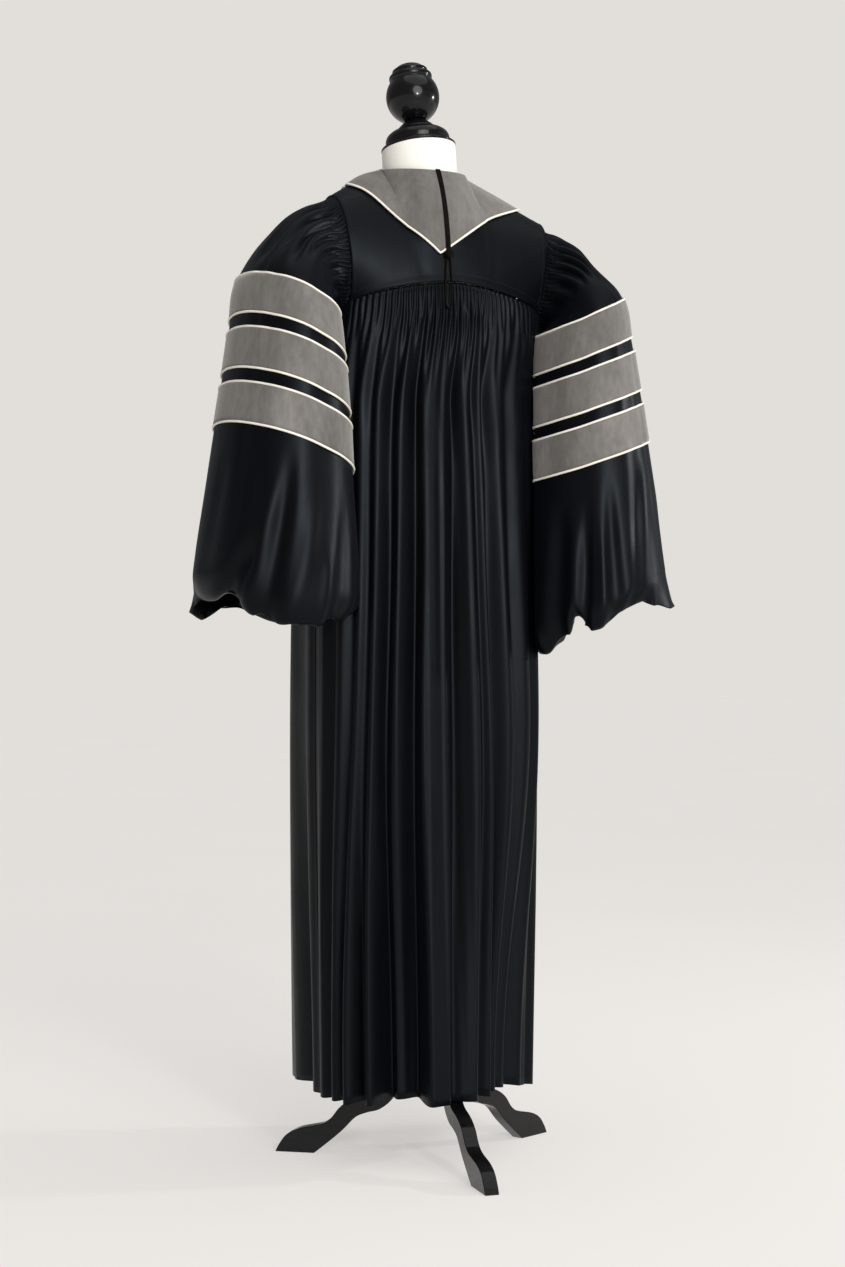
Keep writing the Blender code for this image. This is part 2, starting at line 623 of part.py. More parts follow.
def beside(line, other, closed=False):
    """Where piping lies: next to an edge, on the side away from the piece's other line."""
    points = []
    count = len(line)
    for i, (p, q) in enumerate(zip(line, other)):
        after = line[(i + 1) % count] if closed else line[min(i + 1, count - 1)]
        before = line[i - 1] if closed else line[max(i - 1, 0)]
        along = (after - before).normalized()
        away = (p - q) - along * (p - q).dot(along)
        points.append(p + away.normalized() * (PIPING_R + SEAM_GAP))
    return points


# ---------------------------------------------------------------- velvet and cord


def solve(rises_to, target, low=0.0, high=1.0):
    """Where a function that falls from low to high reaches the target."""
    for _ in range(30):
        middle = (low + high) / 2
        if rises_to(middle) > target:
            low = middle
        else:
            high = middle
    return (low + high) / 2


V_ACROSS = solve(lambda g: -top_edge(g, True).x, -V_SHOULDER_X, NECK_SHARE, 1.0)
V_SHOULDER_Z = top_edge(V_ACROSS, True).z


def v_edge_down(across):
    """How far down the yoke the straight edge of the V lies."""

    def above_edge(down):
        point = shoulder_point(across, down, True)
        edge_z = V_POINT_Z + (V_SHOULDER_Z - V_POINT_Z) * point.x / V_SHOULDER_X
        return point.z - edge_z

    return max(solve(above_edge, 0.0), V_TIP_DOWN)


def collar_rows():
    """Rows of the velvet V on the yoke, from the neck down to its edge."""
    half = [g for g in SHOULDER_COLUMNS if g < V_ACROSS] + [V_ACROSS]
    ends = [v_edge_down(across) for across in half]
    rows = []
    for share in spread(0.0, 1.0, 6):
        left = [shoulder_point(g, end * share, True) for g, end in zip(half, ends)]
        rows.append([mirrored(p) for p in reversed(left[1:])] + left)
    return moved_out(rows, LAID_GAP + VELVET, (0.0, BODY_AXIS_Y))


def make_collar():
    rows = collar_rows()
    cloth_wall("collar_back", [rows], VELVET, GREY, (0.0, BODY_AXIS_Y))
    round_strip("piping_collar", beside(rows[-1], rows[-3]), PIPING_R, IVORY)


def band_edge_across(down):
    """Share of the way to the armhole where a front band's outer edge lies."""
    edge_x = V_SHOULDER_X + (BAND_CHEST_X - V_SHOULDER_X) * ease(down / 0.9)
    return solve(lambda g: -shoulder_point(g, down, False).x, -edge_x)


def band_edge_turn(down):
    """Direction round the body where the band's outer edge lies, below the chest."""
    return solve(lambda t: -body_point(t, down).x, -BAND_CHEST_X, pi, FRONT_END)


BAND_SHARES = [0.0, 0.2, 0.4, NECK_SHARE / V_ACROSS, 0.8, 1.0]
SIDE_SHARES = [0.22, 0.44, 0.70, 1.0]


def front_columns(middle, band_edge, end):
    """Columns of a front: those under the velvet band, then those beside it."""
    under_band = [middle + (band_edge - middle) * share for share in BAND_SHARES]
    return under_band + [band_edge + (end - band_edge) * share for share in SIDE_SHARES]


def front_rows():
    """The left front above the chest line, and from there down to the hem."""
    upper = []
    for down in SHOULDER_ROWS:
        columns = front_columns(0.0, band_edge_across(down), 1.0)
        upper.append([clear_of_opening(shoulder_point(g, down, False)) for g in columns])
    under_arm = spread(FRONT_END, pi / 2 + BESIDE_SEAM, 3)[1:] + [pi / 2 + SIDE_SEAM_TURN]
    lower = []
    for down in FRONT_ROWS:
        columns = front_columns(pi, band_edge_turn(down), FRONT_END) + under_arm
        lower.append([clear_of_opening(body_point(turn, down)) for turn in columns])
    return upper, lower


def make_front(side):
    """One front from the shoulder seam to the hem, and the velvet band along its edge."""
    upper, lower = (sided(rows, side) for rows in front_rows())
    axis = (0.0, BODY_AXIS_Y)
    cloth_wall(f"front_panel_{side}", [upper, lower], CLOTH, BLACK, axis)
    rows = [row[:len(BAND_SHARES)] for row in upper[:-1] + lower]
    rows = moved_out(rows, LAID_GAP + VELVET, axis)
    cloth_wall(f"front_band_{side}", [rows], VELVET, GREY, axis)
    edge = [row[-1] for row in rows]
    inner = [row[-2] for row in rows]
    round_strip(f"piping_front_{side}", beside(edge, inner), PIPING_R, IVORY)


def back_line_y(z):
    """The outermost back of the gown at its centre line."""
    if z < YOKE_SEAM_Z:
        return body_outline(0.0, z).y
    down = solve(lambda v: shoulder_point(0.0, v, True).z, z)
    return shoulder_point(0.0, down, True).y


def make_hood_cord():
    """The flat braid from the neck seam down over the velvet to the button."""
    last = v_edge_down(0.0) * HOOD_CORD_SHARE
    half_share = solve(lambda g: -top_edge(g, True).x, -HOOD_CORD_WIDTH / 2)
    rows = []
    for down in spread(0.0, last, 8):
        middle = shoulder_point(0.0, down, True)
        edge = shoulder_point(half_share, down, True)
        edge.x = HOOD_CORD_WIDTH / 2
        rows.append([mirrored(edge), middle, edge])
    lift = 2 * LAID_GAP + VELVET + BRAID
    rows = moved_out(rows, lift, (0.0, BODY_AXIS_Y))
    cloth_wall("hood_cord", [rows], BRAID, CORD, (0.0, BODY_AXIS_Y))


def make_button():
    y = back_line_y(BUTTON_Z) + LAID_GAP + VELVET + 2 * PIPING_R
    place = (BUTTON_X, y, BUTTON_Z)
    turned("hood_button", BUTTON_PROFILE, place, (radians(-90 + 14), 0.0, 0.0), CORD, 16)


def make_cord_loop():
    """The end of the cord: a loop that hangs from the button."""
    points = []
    for at in spread(0.0, LOOP_ROUTE[-1].at, LOOP_POINTS):
        z = BUTTON_Z - BUTTON_R - read(LOOP_ROUTE, "at", "below_button", at)
        y = back_line_y(z) + LAID_GAP + LOOP_R
        points.append(Vector((BUTTON_X + read(LOOP_ROUTE, "at", "x", at), y, z)))
    round_strip("cord_loop", points, LOOP_R, CORD, sides=2)


# ---------------------------------------------------------------- dress form and stand


def torso_ring(ring):
    points = []
    for i in range(TORSO_COLUMNS):
        turn = 2 * pi * i / TORSO_COLUMNS
        x = ring.half_width * sin(turn)
        y = ring.centre_y + ring.half_depth * cos(turn)
        tilt = ease((ring.z - NECK_TILT_FROM_Z) / (TORSO[-1].z - NECK_TILT_FROM_Z))
        lean = tilt * (tan(NECK_LEAN[0]) * (y - ring.centre_y) - tan(NECK_LEAN[1]) * x)
        points.append(Vector((x + ring.centre_x, y, ring.z + lean)))
    return points


def make_torso():
    """The padded body of the form: rings joined, with a flat top and bottom."""
    shape = bmesh.new()
    rings = [[shape.verts.new(p) for p in torso_ring(ring)] for ring in TORSO]
    for lower, upper in zip(rings, rings[1:]):
        for i in range(TORSO_COLUMNS):
            j = (i + 1) % TORSO_COLUMNS
            shape.faces.new([lower[j], lower[i], upper[i], upper[j]])
    shape.faces.new(rings[0])
    shape.faces.new(rings[-1][::-1])
    bmesh.ops.recalc_face_normals(shape, faces=shape.faces)
    mesh = bpy.data.meshes.new("form_torso")
    shape.to_mesh(mesh)
    shape.free()
    mesh.shade_smooth()
    mesh.set_sharp_from_angle(angle=radians(50))
    add_object("form_torso", mesh, CREAM)


def ball_profile(radius, height, from_angle, to_angle, count):
    """Points of a ball's side, the angles measured up from its equator."""
    return [
        TurnedPoint(radius * cos(a), height + radius * sin(a))
        for a in spread(from_angle, to_angle, count)
    ]


def make_neck_cap():
    turned("neck_cap", CAP_PROFILE, CAP_BASE, (*NECK_LEAN, 0.0), WOOD)
    ball = ball_profile(BALL_R, BALL_UP, radians(42), radians(-65), 8)
    base = [TurnedPoint(0.0, ball[-1].height)]
    turned("finial", FINIAL_TOP + ball + base, CAP_BASE, (*NECK_LEAN, 0.0), WOOD)


def make_pole():
    top = TORSO[0].z - SEAM_GAP
    bottom = HUB_PROFILE[0].height + SEAM_GAP
    bpy.ops.mesh.primitive_cylinder_add(
        vertices=16, radius=POLE_R, depth=top - bottom,
        location=(*POLE_AT, (top + bottom) / 2),
    )
    pole = bpy.context.object
    pole.name = "pole"
    pole.data.materials.append(WOOD)
    pole.data.shade_smooth()
    pole.data.set_sharp_from_angle(angle=radians(40))
    for home in list(pole.users_collection):
        home.objects.unlink(pole)
    GOWN.objects.link(pole)
    turned("base_hub", HUB_PROFILE, (*POLE_AT, 0.0), (0.0, 0.0, 0.0), WOOD, 16)


def make_leg(number):
    """A curved leg cut from plank: its side view, as thick as the plank."""
    shape = bmesh.new()
    corners = [shape.verts.new((p.out, -LEG_THICK / 2, p.up)) for p in LEG_OUTLINE]
    side = shape.faces.new(corners)
    grown = bmesh.ops.extrude_face_region(shape, geom=[side])
    moved = [v for v in grown["geom"] if isinstance(v, bmesh.types.BMVert)]
    bmesh.ops.translate(shape, verts=moved, vec=(0.0, LEG_THICK, 0.0))
    bmesh.ops.recalc_face_normals(shape, faces=shape.faces)
    mesh = bpy.data.meshes.new(f"leg_{number}")
    shape.to_mesh(mesh)
    shape.free()
    leg = add_object(f"leg_{number}", mesh, WOOD)
    leg.location = (*POLE_AT, 0.0)
    leg.rotation_euler.z = TRIPOD_TURN + (number - 1) * 2 * pi / 3
    edges = leg.modifiers.new("Rounded", "BEVEL")
    edges.width = LEG_EDGE
    edges.segments = 1
    edges.limit_method = "ANGLE"
    edges.angle_limit = radians(60)


def clear_scene():
    for old in list(bpy.data.objects):
        bpy.data.objects.remove(old, do_unlink=True)


clear_scene()
GOWN = collection("graduation_gown_on_dress_form")
BLACK = material("black_satin_polyester", (0.010, 0.011, 0.015), 0.42)
GREY = material("grey_velvet", (0.21, 0.20, 0.185), 0.85)
IVORY = material("ivory_piping", (0.86, 0.83, 0.74), 0.5)
CORD = material("black_braid", (0.012, 0.012, 0.014), 0.7)
CREAM = material("cream_jersey", (0.84, 0.80, 0.70), 0.8)
WOOD = material("gloss_black_wood", (0.012, 0.011, 0.011), 0.12)

make_back_panel()
make_back_yoke()
make_collar()
make_hood_cord()
make_button()
make_cord_loop()
for hand in ("left", "right"):
    make_front(hand)
    make_sleeve(hand)
    for count, (upper_row, lower_row) in enumerate(BAR_ROWS, 1):
        make_sleeve_bar(hand, count, upper_row, lower_row)
make_torso()
make_neck_cap()
make_pole()
for count in (1, 2, 3):
    make_leg(count)
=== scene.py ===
from collections import namedtuple
from math import cos, degrees, pi, radians, sin, tan

import bmesh
import bpy
import numpy as np
from mathutils import Matrix, Vector


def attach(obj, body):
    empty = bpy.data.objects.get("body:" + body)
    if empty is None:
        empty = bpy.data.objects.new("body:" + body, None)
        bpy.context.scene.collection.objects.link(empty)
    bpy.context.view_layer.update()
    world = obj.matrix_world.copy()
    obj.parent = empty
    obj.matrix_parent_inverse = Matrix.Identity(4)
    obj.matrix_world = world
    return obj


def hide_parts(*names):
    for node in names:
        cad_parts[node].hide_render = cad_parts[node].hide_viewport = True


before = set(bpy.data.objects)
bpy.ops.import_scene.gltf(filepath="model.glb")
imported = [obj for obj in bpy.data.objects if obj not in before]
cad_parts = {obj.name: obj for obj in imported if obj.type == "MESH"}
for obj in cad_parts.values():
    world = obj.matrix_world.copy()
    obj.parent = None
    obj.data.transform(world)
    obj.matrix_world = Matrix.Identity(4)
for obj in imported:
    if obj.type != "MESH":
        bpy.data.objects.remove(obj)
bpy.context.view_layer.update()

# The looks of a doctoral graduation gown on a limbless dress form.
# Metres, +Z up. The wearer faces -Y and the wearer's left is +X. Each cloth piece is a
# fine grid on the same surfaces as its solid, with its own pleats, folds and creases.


def placed(name, data):
    """A new object in the scene that holds this data."""
    made = bpy.data.objects.new(name, data)
    bpy.context.scene.collection.objects.link(made)
    return made


# ---------------------------------------------------------------- camera
POLE_AT = (-0.012, 0.0)
CAMERA_TURN = radians(22)      # round the pole from straight behind, to the wearer's left
CAMERA_DISTANCE = 3.17
CAMERA_HEIGHT = 0.71
LENS = 60.7


def make_camera():
    data = bpy.data.cameras.new("camera")
    data.lens = LENS
    data.sensor_width = 36.0
    data.shift_x = -0.0114
    data.shift_y = 0.0359
    data.clip_end = 200.0
    made = placed("camera", data)
    made.location = (
        POLE_AT[0] + CAMERA_DISTANCE * sin(CAMERA_TURN),
        POLE_AT[1] + CAMERA_DISTANCE * cos(CAMERA_TURN),
        CAMERA_HEIGHT,
    )
    made.rotation_euler = (pi / 2, 0.0, pi - CAMERA_TURN)
    bpy.context.scene.camera = made


make_camera()

# ---------------------------------------------------------------- sizes
# Most are the solids' own. The slip, the shoulders' height, the sides of the neck and the
# collar's point are those of the gown as it has settled on the form.
VELVET = 0.0014
SEAM_GAP = 0.0005
LAID_GAP = 0.0015
CLOTH_WALL = 0.0008
VELVET_WALL = 0.0020
VELVET_OUT = 0.0026       # outer face of laid velvet above the cloth under it
PIPING_R = 0.0017
PIPING_OUT = PIPING_R * 0.8    # its line lies this far off the velvet's edge
PIPING_SUNK = 0.0006
SLIP = 0.015
SHOULDER_LIFT = {"left": 0.012, "right": -0.003}
COLLAR_POINT_X = 0.0235   # the collar's point strays to the wearer's left

BODY_AXIS_Y = -0.030
HEM_Z = 0.100
YOKE_SEAM_Z = 1.287
FRONT_NECK_Z = 1.360
FRONT_NECK_Y = -0.130
FRONT_NECK_BOW = 0.018
SHOULDER_DIP = -0.002
NECK_Y = -0.035
NECK_Z = 1.455
NECK_HOLE_R = 0.0630
NECK_SIDE_DROP = -0.009
SHOULDER_TIP = (0.165, -0.020, 1.405)
ARMHOLE_Y = -0.020
ARMHOLE_Z = 1.320
ARMHOLE_HALF_DEPTH = 0.065
ARMHOLE_HALF_HEIGHT = 0.085
SEAM_END_TURN = radians(138)
BACK_SQUARENESS = 2.8
FRONT_SQUARENESS = 3.8
V_POINT_Z = 1.330
V_SHOULDER_X = 0.137
V_TIP_DOWN = 0.022
BAND_CHEST_X = 0.100
NECK_SHARE = 0.50
FRONT_OPENING = 0.0012
BAND_COLUMNS = 21         # of the grid across a front
SHOULDER_SEAM_HALF_GAP = 0.0014
SIDE_SEAM_TURN = radians(0.2)
SLEEVE_CLEARANCE = 0.0075
SLEEVE_SETTLED_ROW = 1.6
SLEEVE_AXIS = (0.245, 0.020)
COLLAR_OUT = 0.0037       # outer face of the collar's velvet above the yoke
HOOD_CORD_WIDTH = 0.0075
HOOD_CORD_HALF_THICK = 0.0010
HOOD_CORD_OUT = 0.0047    # the braid's middle above the yoke
CHEVRON_PITCH = 0.0034
CHEVRON_RISE = 0.00030
BUTTON_X = -0.0030
BUTTON_Z = 1.3275
BUTTON_R = 0.0070
LOOP_R = 0.0013
NECK_LEAN = (radians(6), radians(4.5))
NECK_TILT_FROM_Z = 1.42
CAP_BASE = (0.0015, -0.0400, 1.5035)
LEG_THICK = 0.021
TRIPOD_TURN = radians(86)

# ---------------------------------------------------------------- tables


def table(columns, *rows):
    """Rows of numbers with a name for each column."""
    row = namedtuple("Row", columns)
    return [row(*values) for values in rows]


BODY = table(
    "z half_width back front",
    (0.1, 0.168, 0.15, 0.208), (0.45, 0.172, 0.138, 0.212), (0.8, 0.171, 0.126, 0.206),
    (1.05, 0.168, 0.112, 0.186), (1.2, 0.166, 0.102, 0.16), (1.3, 0.163, 0.094, 0.138),
)
FOLD_FADE_Z = 1.22
FOLD_TOP_Z = 1.12
FOLD_MIDDLE_Z = 0.70
HEM_RISE = 0.15           # how far the hem rises for each metre that a fold goes in
UPPER_FOLD_LOSS = 0.30    # the share of the folds' depth that is lost above the knee
FOLD_LINE = "top_deg top middle_deg middle hem_deg hem"
BACK_FOLDS = table(
    FOLD_LINE,
    (-90, 0.003, -90, 0.006, -90, 0.01), (-78, 0, -77, 0, -76, 0.004),
    (-71, 0.006, -70, 0.014, -70, 0.022), (-65, 0, -64, 0.002, -64, 0.03),
    (-58, 0.01, -58, 0.02, -57, 0.056), (-51, 0, -50, 0.003, -50, 0.05),
    (-44, 0.012, -44, 0.024, -43, 0.058), (-38, 0, -37, 0, -37, 0.044),
    (-30, 0.014, -28, 0.026, -31, 0.05), (-24, 0, -24, 0.002, -26, 0.026),
    (-19, 0.006, -20, 0.01, -19, 0.034), (-14, 0, -15, 0, -11, 0.01),
    (-4, 0.014, -2, 0.026, 3, 0.02), (6, 0.001, 7, 0.002, 7, 0.004), (19, 0, 19, 0, 16, 0),
    (27, 0.013, 26, 0.027, 26, 0.048), (35, 0, 36, 0.002, 37, 0.04),
    (42, 0.011, 42, 0.024, 43, 0.052), (48, 0, 48, 0.001, 49, 0.008),
    (52, 0.005, 52, 0.01, 55, 0.03), (56, 0, 56, 0, 61, 0.002), (61, 0.009, 60, 0.018, 66, 0.02),
    (67, 0, 66, 0.002, 71, 0.004), (73, 0.006, 73, 0.012, 76, 0.016), (80, 0, 80, 0, 82, 0.002),
    (90, 0.003, 90, 0.006, 90, 0.01),
)
FRONT_FOLDS = table(
    FOLD_LINE,
    (90, 0.003, 90, 0.006, 90, 0.01), (99, 0, 99, 0, 98, 0.006),
    (114, 0.006, 114, 0.016, 114, 0.04), (128, 0, 130, 0, 132, 0.004),
    (142, 0.001, 143, 0, 144, -0.006), (150, 0.003, 151, 0.005, 151, 0.008),
    (160, 0, 161, 0, 162, 0), (180, 0, 180, 0, 180, 0),
)
SLEEVE = table(
    "at outer_x outer_z inner_x inner_z half_depth centre_y",
    (0, 0.166, 1.405, 0.165, 1.225, 0.065, -0.02), (1, 0.205, 1.401, 0.172, 1.229, 0.088, -0.014),
    (2, 0.25, 1.357, 0.166, 1.224, 0.108, -0.002), (3, 0.293, 1.283, 0.156, 1.218, 0.12, 0.01),
    (4, 0.303, 1.229, 0.15, 1.162, 0.124, 0.015), (5, 0.307, 1.205, 0.148, 1.14, 0.126, 0.017),
    (6, 0.316, 1.15, 0.144, 1.083, 0.129, 0.02), (7, 0.32, 1.127, 0.142, 1.06, 0.13, 0.021),
    (8, 0.329, 1.073, 0.139, 1.003, 0.133, 0.022), (9, 0.344, 0.978, 0.133, 0.915, 0.141, 0.023),
    (10, 0.357, 0.893, 0.13, 0.837, 0.149, 0.023), (11, 0.36, 0.85, 0.132, 0.797, 0.15, 0.023),
    (12, 0.344, 0.826, 0.148, 0.774, 0.137, 0.022), (13, 0.318, 0.842, 0.172, 0.792, 0.114, 0.02),
)
BAR_ROWS = [(3, 4), (5, 6), (7, 8)]
HEM_HANG = {"left": (0.002, -0.008), "right": (-0.008, 0.022)}    # outer and inner side
TORSO = table(
    "z half_width half_depth centre_x centre_y",
    (0.78, 0.134, 0.094, 0, -0.032), (0.86, 0.139, 0.097, 0, -0.033),
    (1.02, 0.11, 0.08, 0, -0.033), (1.18, 0.128, 0.09, 0, -0.038), (1.29, 0.128, 0.078, 0, -0.034),
    (1.355, 0.13, 0.058, 0, -0.03), (1.388, 0.116, 0.048, 0, -0.029),
    (1.416, 0.078, 0.048, 0, -0.032), (1.436, 0.0585, 0.054, 0, -0.035),
    (1.465, 0.056, 0.0555, 0.0005, -0.037), (1.503, 0.055, 0.055, 0.0015, -0.04),
)
LOOP_ROUTE = table(
    "at x below_button",
    (0, -0.0032, 0), (1, -0.004, 0.014), (2, -0.0046, 0.029), (3, -0.0052, 0.045),
    (4, -0.005, 0.06), (5, -0.0036, 0.0684), (5.5, -0.0019, 0.0708), (6, 0.0003, 0.0716),
    (6.5, 0.0024, 0.0706), (7, 0.0041, 0.068), (8, 0.0053, 0.059), (9, 0.0052, 0.044),
    (10, 0.0045, 0.028), (11, 0.0039, 0.013), (12, 0.0031, 0),
)
TURNED = "radius height"
CAP_PROFILE = table(
    TURNED,
    (0, 0.043), (0.0165, 0.043), (0.019, 0.0405), (0.025, 0.0355), (0.029, 0.0315), (0.029, 0.029),
    (0.038, 0.027), (0.0455, 0.0215), (0.0485, 0.0145), (0.0475, 0.008), (0.0485, 0.0048),
    (0.056, 0.004), (0.056, 0), (0, 0),
)
# The finial's rings above its ball, 4.5 mm taller than the solid's.
FINIAL_TOP = table(
    TURNED,
    (0, 0.1315), (0.011, 0.1306), (0.019, 0.1272), (0.0225, 0.1235), (0.0262, 0.1225),
    (0.0268, 0.1188), (0.0255, 0.116), (0.0308, 0.115), (0.0325, 0.1115), (0.0318, 0.1062),
)
BUTTON_PROFILE = table(
    TURNED,
    (0, 0.0062), (0.0035, 0.0056), (0.0058, 0.004), (BUTTON_R, 0.0018), (0.0064, 0), (0, 0),
)
BALL_R = 0.0400
BALL_UP = 0.0800
LEG = "out up"
LEG_UPPER = table(
    LEG,
    (0.033, 0.226), (0.05, 0.206), (0.064, 0.168), (0.074, 0.13), (0.085, 0.106), (0.098, 0.0935),
    (0.12, 0.086), (0.135, 0.079), (0.148, 0.069), (0.161, 0.053), (0.1765, 0.044),
    (0.2106, 0.036), (0.2294, 0.026), (0.2403, 0.012), (0.2466, 0),
)
LEG_LOWER = table(
    LEG,
    (0.1865, 0), (0.165, 0.017), (0.1439, 0.035), (0.123, 0.056), (0.105, 0.064), (0.085, 0.07),
    (0.066, 0.086), (0.054, 0.112), (0.046, 0.138), (0.033, 0.152),
)

# ---------------------------------------------------------------- tables of the looks
FLUTES = 44               # cartridge pleats along the yoke seam
BEHIND_PLEATS, AHEAD_PLEATS = 34, 22    # and round the back and the front of each armhole
BEHIND_HALF_DEG, AHEAD_HALF_DEG = 75, 105
FLUTE_DEPTH = 0.0034
FLUTE_REACH = 0.034
# Narrow troughs that the cartridge pleats open into: where along the yoke seam (-1 to 1),
# how far down they run, how deep and how wide they are, and how they lean.
GATHER_SHARE = 0.50       # how much of a gather's depth and of its reach it keeps
GATHER_REACH_SHARE = 0.75
GATHERS = table(
    "at reach depth half_deg lean_deg",
    (-0.965, 0.1, 0.006, 1.5, 0.6), (-0.89, 0.15, 0.009, 2, -0.8), (-0.815, 0.06, 0.006, 1.3, 0.5),
    (-0.745, 0.11, 0.008, 1.7, 0.9), (-0.662, 0.19, 0.01, 2.1, -0.6),
    (-0.585, 0.07, 0.007, 1.4, 1.1), (-0.512, 0.12, 0.009, 1.6, -1),
    (-0.425, 0.22, 0.011, 2.2, 0.4), (-0.345, 0.08, 0.007, 1.4, -0.9),
    (-0.262, 0.16, 0.01, 1.9, 0.3), (-0.188, 0.1, 0.009, 1.5, 1.4),
    (-0.11, 0.06, 0.006, 1.3, -0.6), (-0.045, 0.21, 0.012, 2.1, -0.5),
    (0.04, 0.09, 0.008, 1.5, 0.8), (0.118, 0.13, 0.009, 1.7, -1.2), (0.19, 0.07, 0.007, 1.3, 0.5),
    (0.272, 0.11, 0.01, 1.7, 1.6), (0.375, 0.24, 0.012, 2.3, 0.2), (0.452, 0.08, 0.007, 1.4, -0.8),
    (0.528, 0.14, 0.01, 1.7, 0.9), (0.6, 0.2, 0.011, 2, -0.3), (0.678, 0.07, 0.007, 1.3, 0.7),
    (0.742, 0.16, 0.01, 1.9, -0.4), (0.82, 0.07, 0.007, 1.3, 0.8), (0.885, 0.17, 0.009, 1.9, 0.2),
    (0.96, 0.09, 0.006, 1.5, -0.5),
)
# Valleys that radiate over the head of a sleeve from the armhole's pleats.
HEAD_FOLDS = table(
    "turn_deg lean_deg half_deg depth last_row",
    (6, -9, 5.5, 0.006, 2.5), (24, -7, 5, 0.011, 2.9), (41, -4, 5, 0.01, 2.7),
    (57, 2, 4.5, 0.009, 2.8), (72, 4, 4.5, 0.008, 2.3), (88, 5, 4.5, 0.007, 2.1),
    (105, 4, 5, 0.006, 1.9), (124, 3, 5.5, 0.005, 1.7), (146, 0, 6, 0.004, 1.6),
    (-13, -6, 6, 0.007, 2.4), (-33, -4, 6, 0.007, 2.2), (-55, -3, 6.5, 0.006, 2.1),
    (-80, -2, 6.5, 0.006, 1.9), (-108, 0, 7, 0.005, 1.7), (-140, 0, 7, 0.004, 1.5),
)
# Creases of the sleeves below the bars: a valley (or a ridge, with a negative depth) that
# runs from one direction and row to another.
CREASE_SHARE = 0.65       # how much of a crease's depth it keeps
CREASE = "from_deg from_row to_deg to_row half_deg depth"
CREASES = {
    "left": table(
        CREASE,
        (74, 8.1, 55, 12.6, 8, 0.013), (50, 9.5, 26, 12, 9.5, 0.017),
        (96, 8.6, 70, 12.4, 7, -0.003), (63, 8.6, 41, 11.8, 6, -0.004),
        (122, 8.4, 112, 12.6, 9, 0.007), (106, 9.4, 101, 11.8, 6, -0.004),
        (18, 8.3, 8, 10.8, 10, 0.004), (4, 10.2, 4, 12, 17, -0.006),
        (140, 9.2, 146, 12.8, 8, 0.006), (-38, 9.6, -50, 12.6, 12, 0.009),
        (-84, 8.8, -78, 12.8, 12, 0.011), (-122, 9, -128, 12.8, 13, 0.009),
        (-160, 9.4, -156, 12.8, 10, 0.006),
    ),
    "right": table(
        CREASE,
        (138, 8.2, 146, 12.4, 9.5, 0.013), (128, 8.6, 135, 12, 5.5, -0.004),
        (118, 8.4, 129, 12.9, 6, 0.012), (108, 8.8, 112, 12.2, 4, -0.004),
        (100, 8.2, 101, 11.6, 6.5, 0.008), (58, 8, 82, 10.2, 8, -0.004),
        (74, 8.2, 92, 12.2, 7, 0.006), (160, 10.6, 153, 12.9, 5, -0.006),
        (36, 8.8, 30, 12.5, 12, 0.006), (-6, 9, -14, 12.8, 13, 0.01),
        (-48, 8.6, -42, 12.8, 13, 0.01), (-92, 9, -98, 12.8, 13, 0.011),
        (-140, 9.2, -136, 12.8, 12, 0.008), (178, 9.6, 180, 12.8, 9, 0.006),
    ),
}
# The sleeve's hem round its opening: how far it is rolled under (1) or hangs straight (0),
# and how much lower than the plain hem it hangs.
HEM_POINT = "turn_deg roll drop"
SLEEVE_HEMS = {
    "left": table(
        HEM_POINT,
        (-180, 1, -0.014), (-150, 0.9, -0.006), (-120, 0.8, 0.004), (-90, 0.8, -0.004),
        (-66, 0.6, 0.002), (-52, 0, 0.006), (-36, 0, 0.002), (-26, 0.3, 0), (-15, 1, 0),
        (18, 1, 0.001), (34, 1, 0), (50, 1, 0.022), (64, 0.9, 0.027), (80, 0.8, 0.023),
        (98, 0.9, 0.017), (118, 1, 0.003), (138, 1, -0.008), (158, 1, -0.016),
    ),
    "right": table(
        HEM_POINT,
        (-180, 1, 0.004), (-150, 0.9, -0.004), (-115, 0.9, 0.004), (-80, 0.8, -0.002),
        (-45, 0.9, 0.006), (-12, 0.9, 0.002), (14, 0.4, -0.004), (26, 0, -0.006), (50, 0, -0.008),
        (66, 0.2, -0.014), (80, 0.8, -0.018), (94, 1, -0.014), (108, 1, -0.009), (119, 1, -0.006),
        (125, 1, -0.012), (131, 1, -0.032), (137, 1, -0.01), (150, 1, 0.008), (165, 1, 0.006),
    ),
}
HEAD_SAG = {"left": 0.008, "right": 0.015}
ROLL_FROM_ROW = 10.3
LAST_ROW = 13.0
STRAIGHT_HEM = 0.062      # how far the hem hangs below that row where it isn't rolled
STRAIGHT_FLARE = 0.013
# Shallow dents in the upper sleeve and the velvet bars on it.
DENT = "turn_deg half_deg depth lean_deg"
DENTS = {
    "left": table(
        DENT,
        (46, 7, 0.0022, -2), (33, 5, 0.0014, 1), (98, 12, 0.002, 2), (-40, 12, 0.003, 0),
        (-110, 14, 0.003, 2), (160, 12, 0.002, 0),
    ),
    "right": table(
        DENT,
        (72, 6, 0.0018, 3), (58, 4, 0.0012, -1), (118, 12, 0.0022, 3), (10, 11, 0.0026, 0),
        (-60, 14, 0.003, 2), (-130, 13, 0.003, 0),
    ),
}

# ---------------------------------------------------------------- reading tables


def read(rows, at):
    """Smooth curves through a table's columns, each read where its first column is at."""
    places, *columns = np.array(rows, float).T
    at = np.asarray(at, float)
    i = np.clip(np.searchsorted(places, at) - 1, 0, len(rows) - 2)
    step = places[i + 1] - places[i]
    f = np.clip((at - places[i]) / step, 0.0, 1.0)
    curves = []
    for values in columns:
        slopes = np.gradient(values, places)
        start = values[i] * (1 + 2 * f) * (1 - f) ** 2 + slopes[i] * step * f * (1 - f) ** 2
        end = values[i + 1] * f * f * (3 - 2 * f) + slopes[i + 1] * step * f * f * (f - 1)
        curves.append(start + end)
    return curves


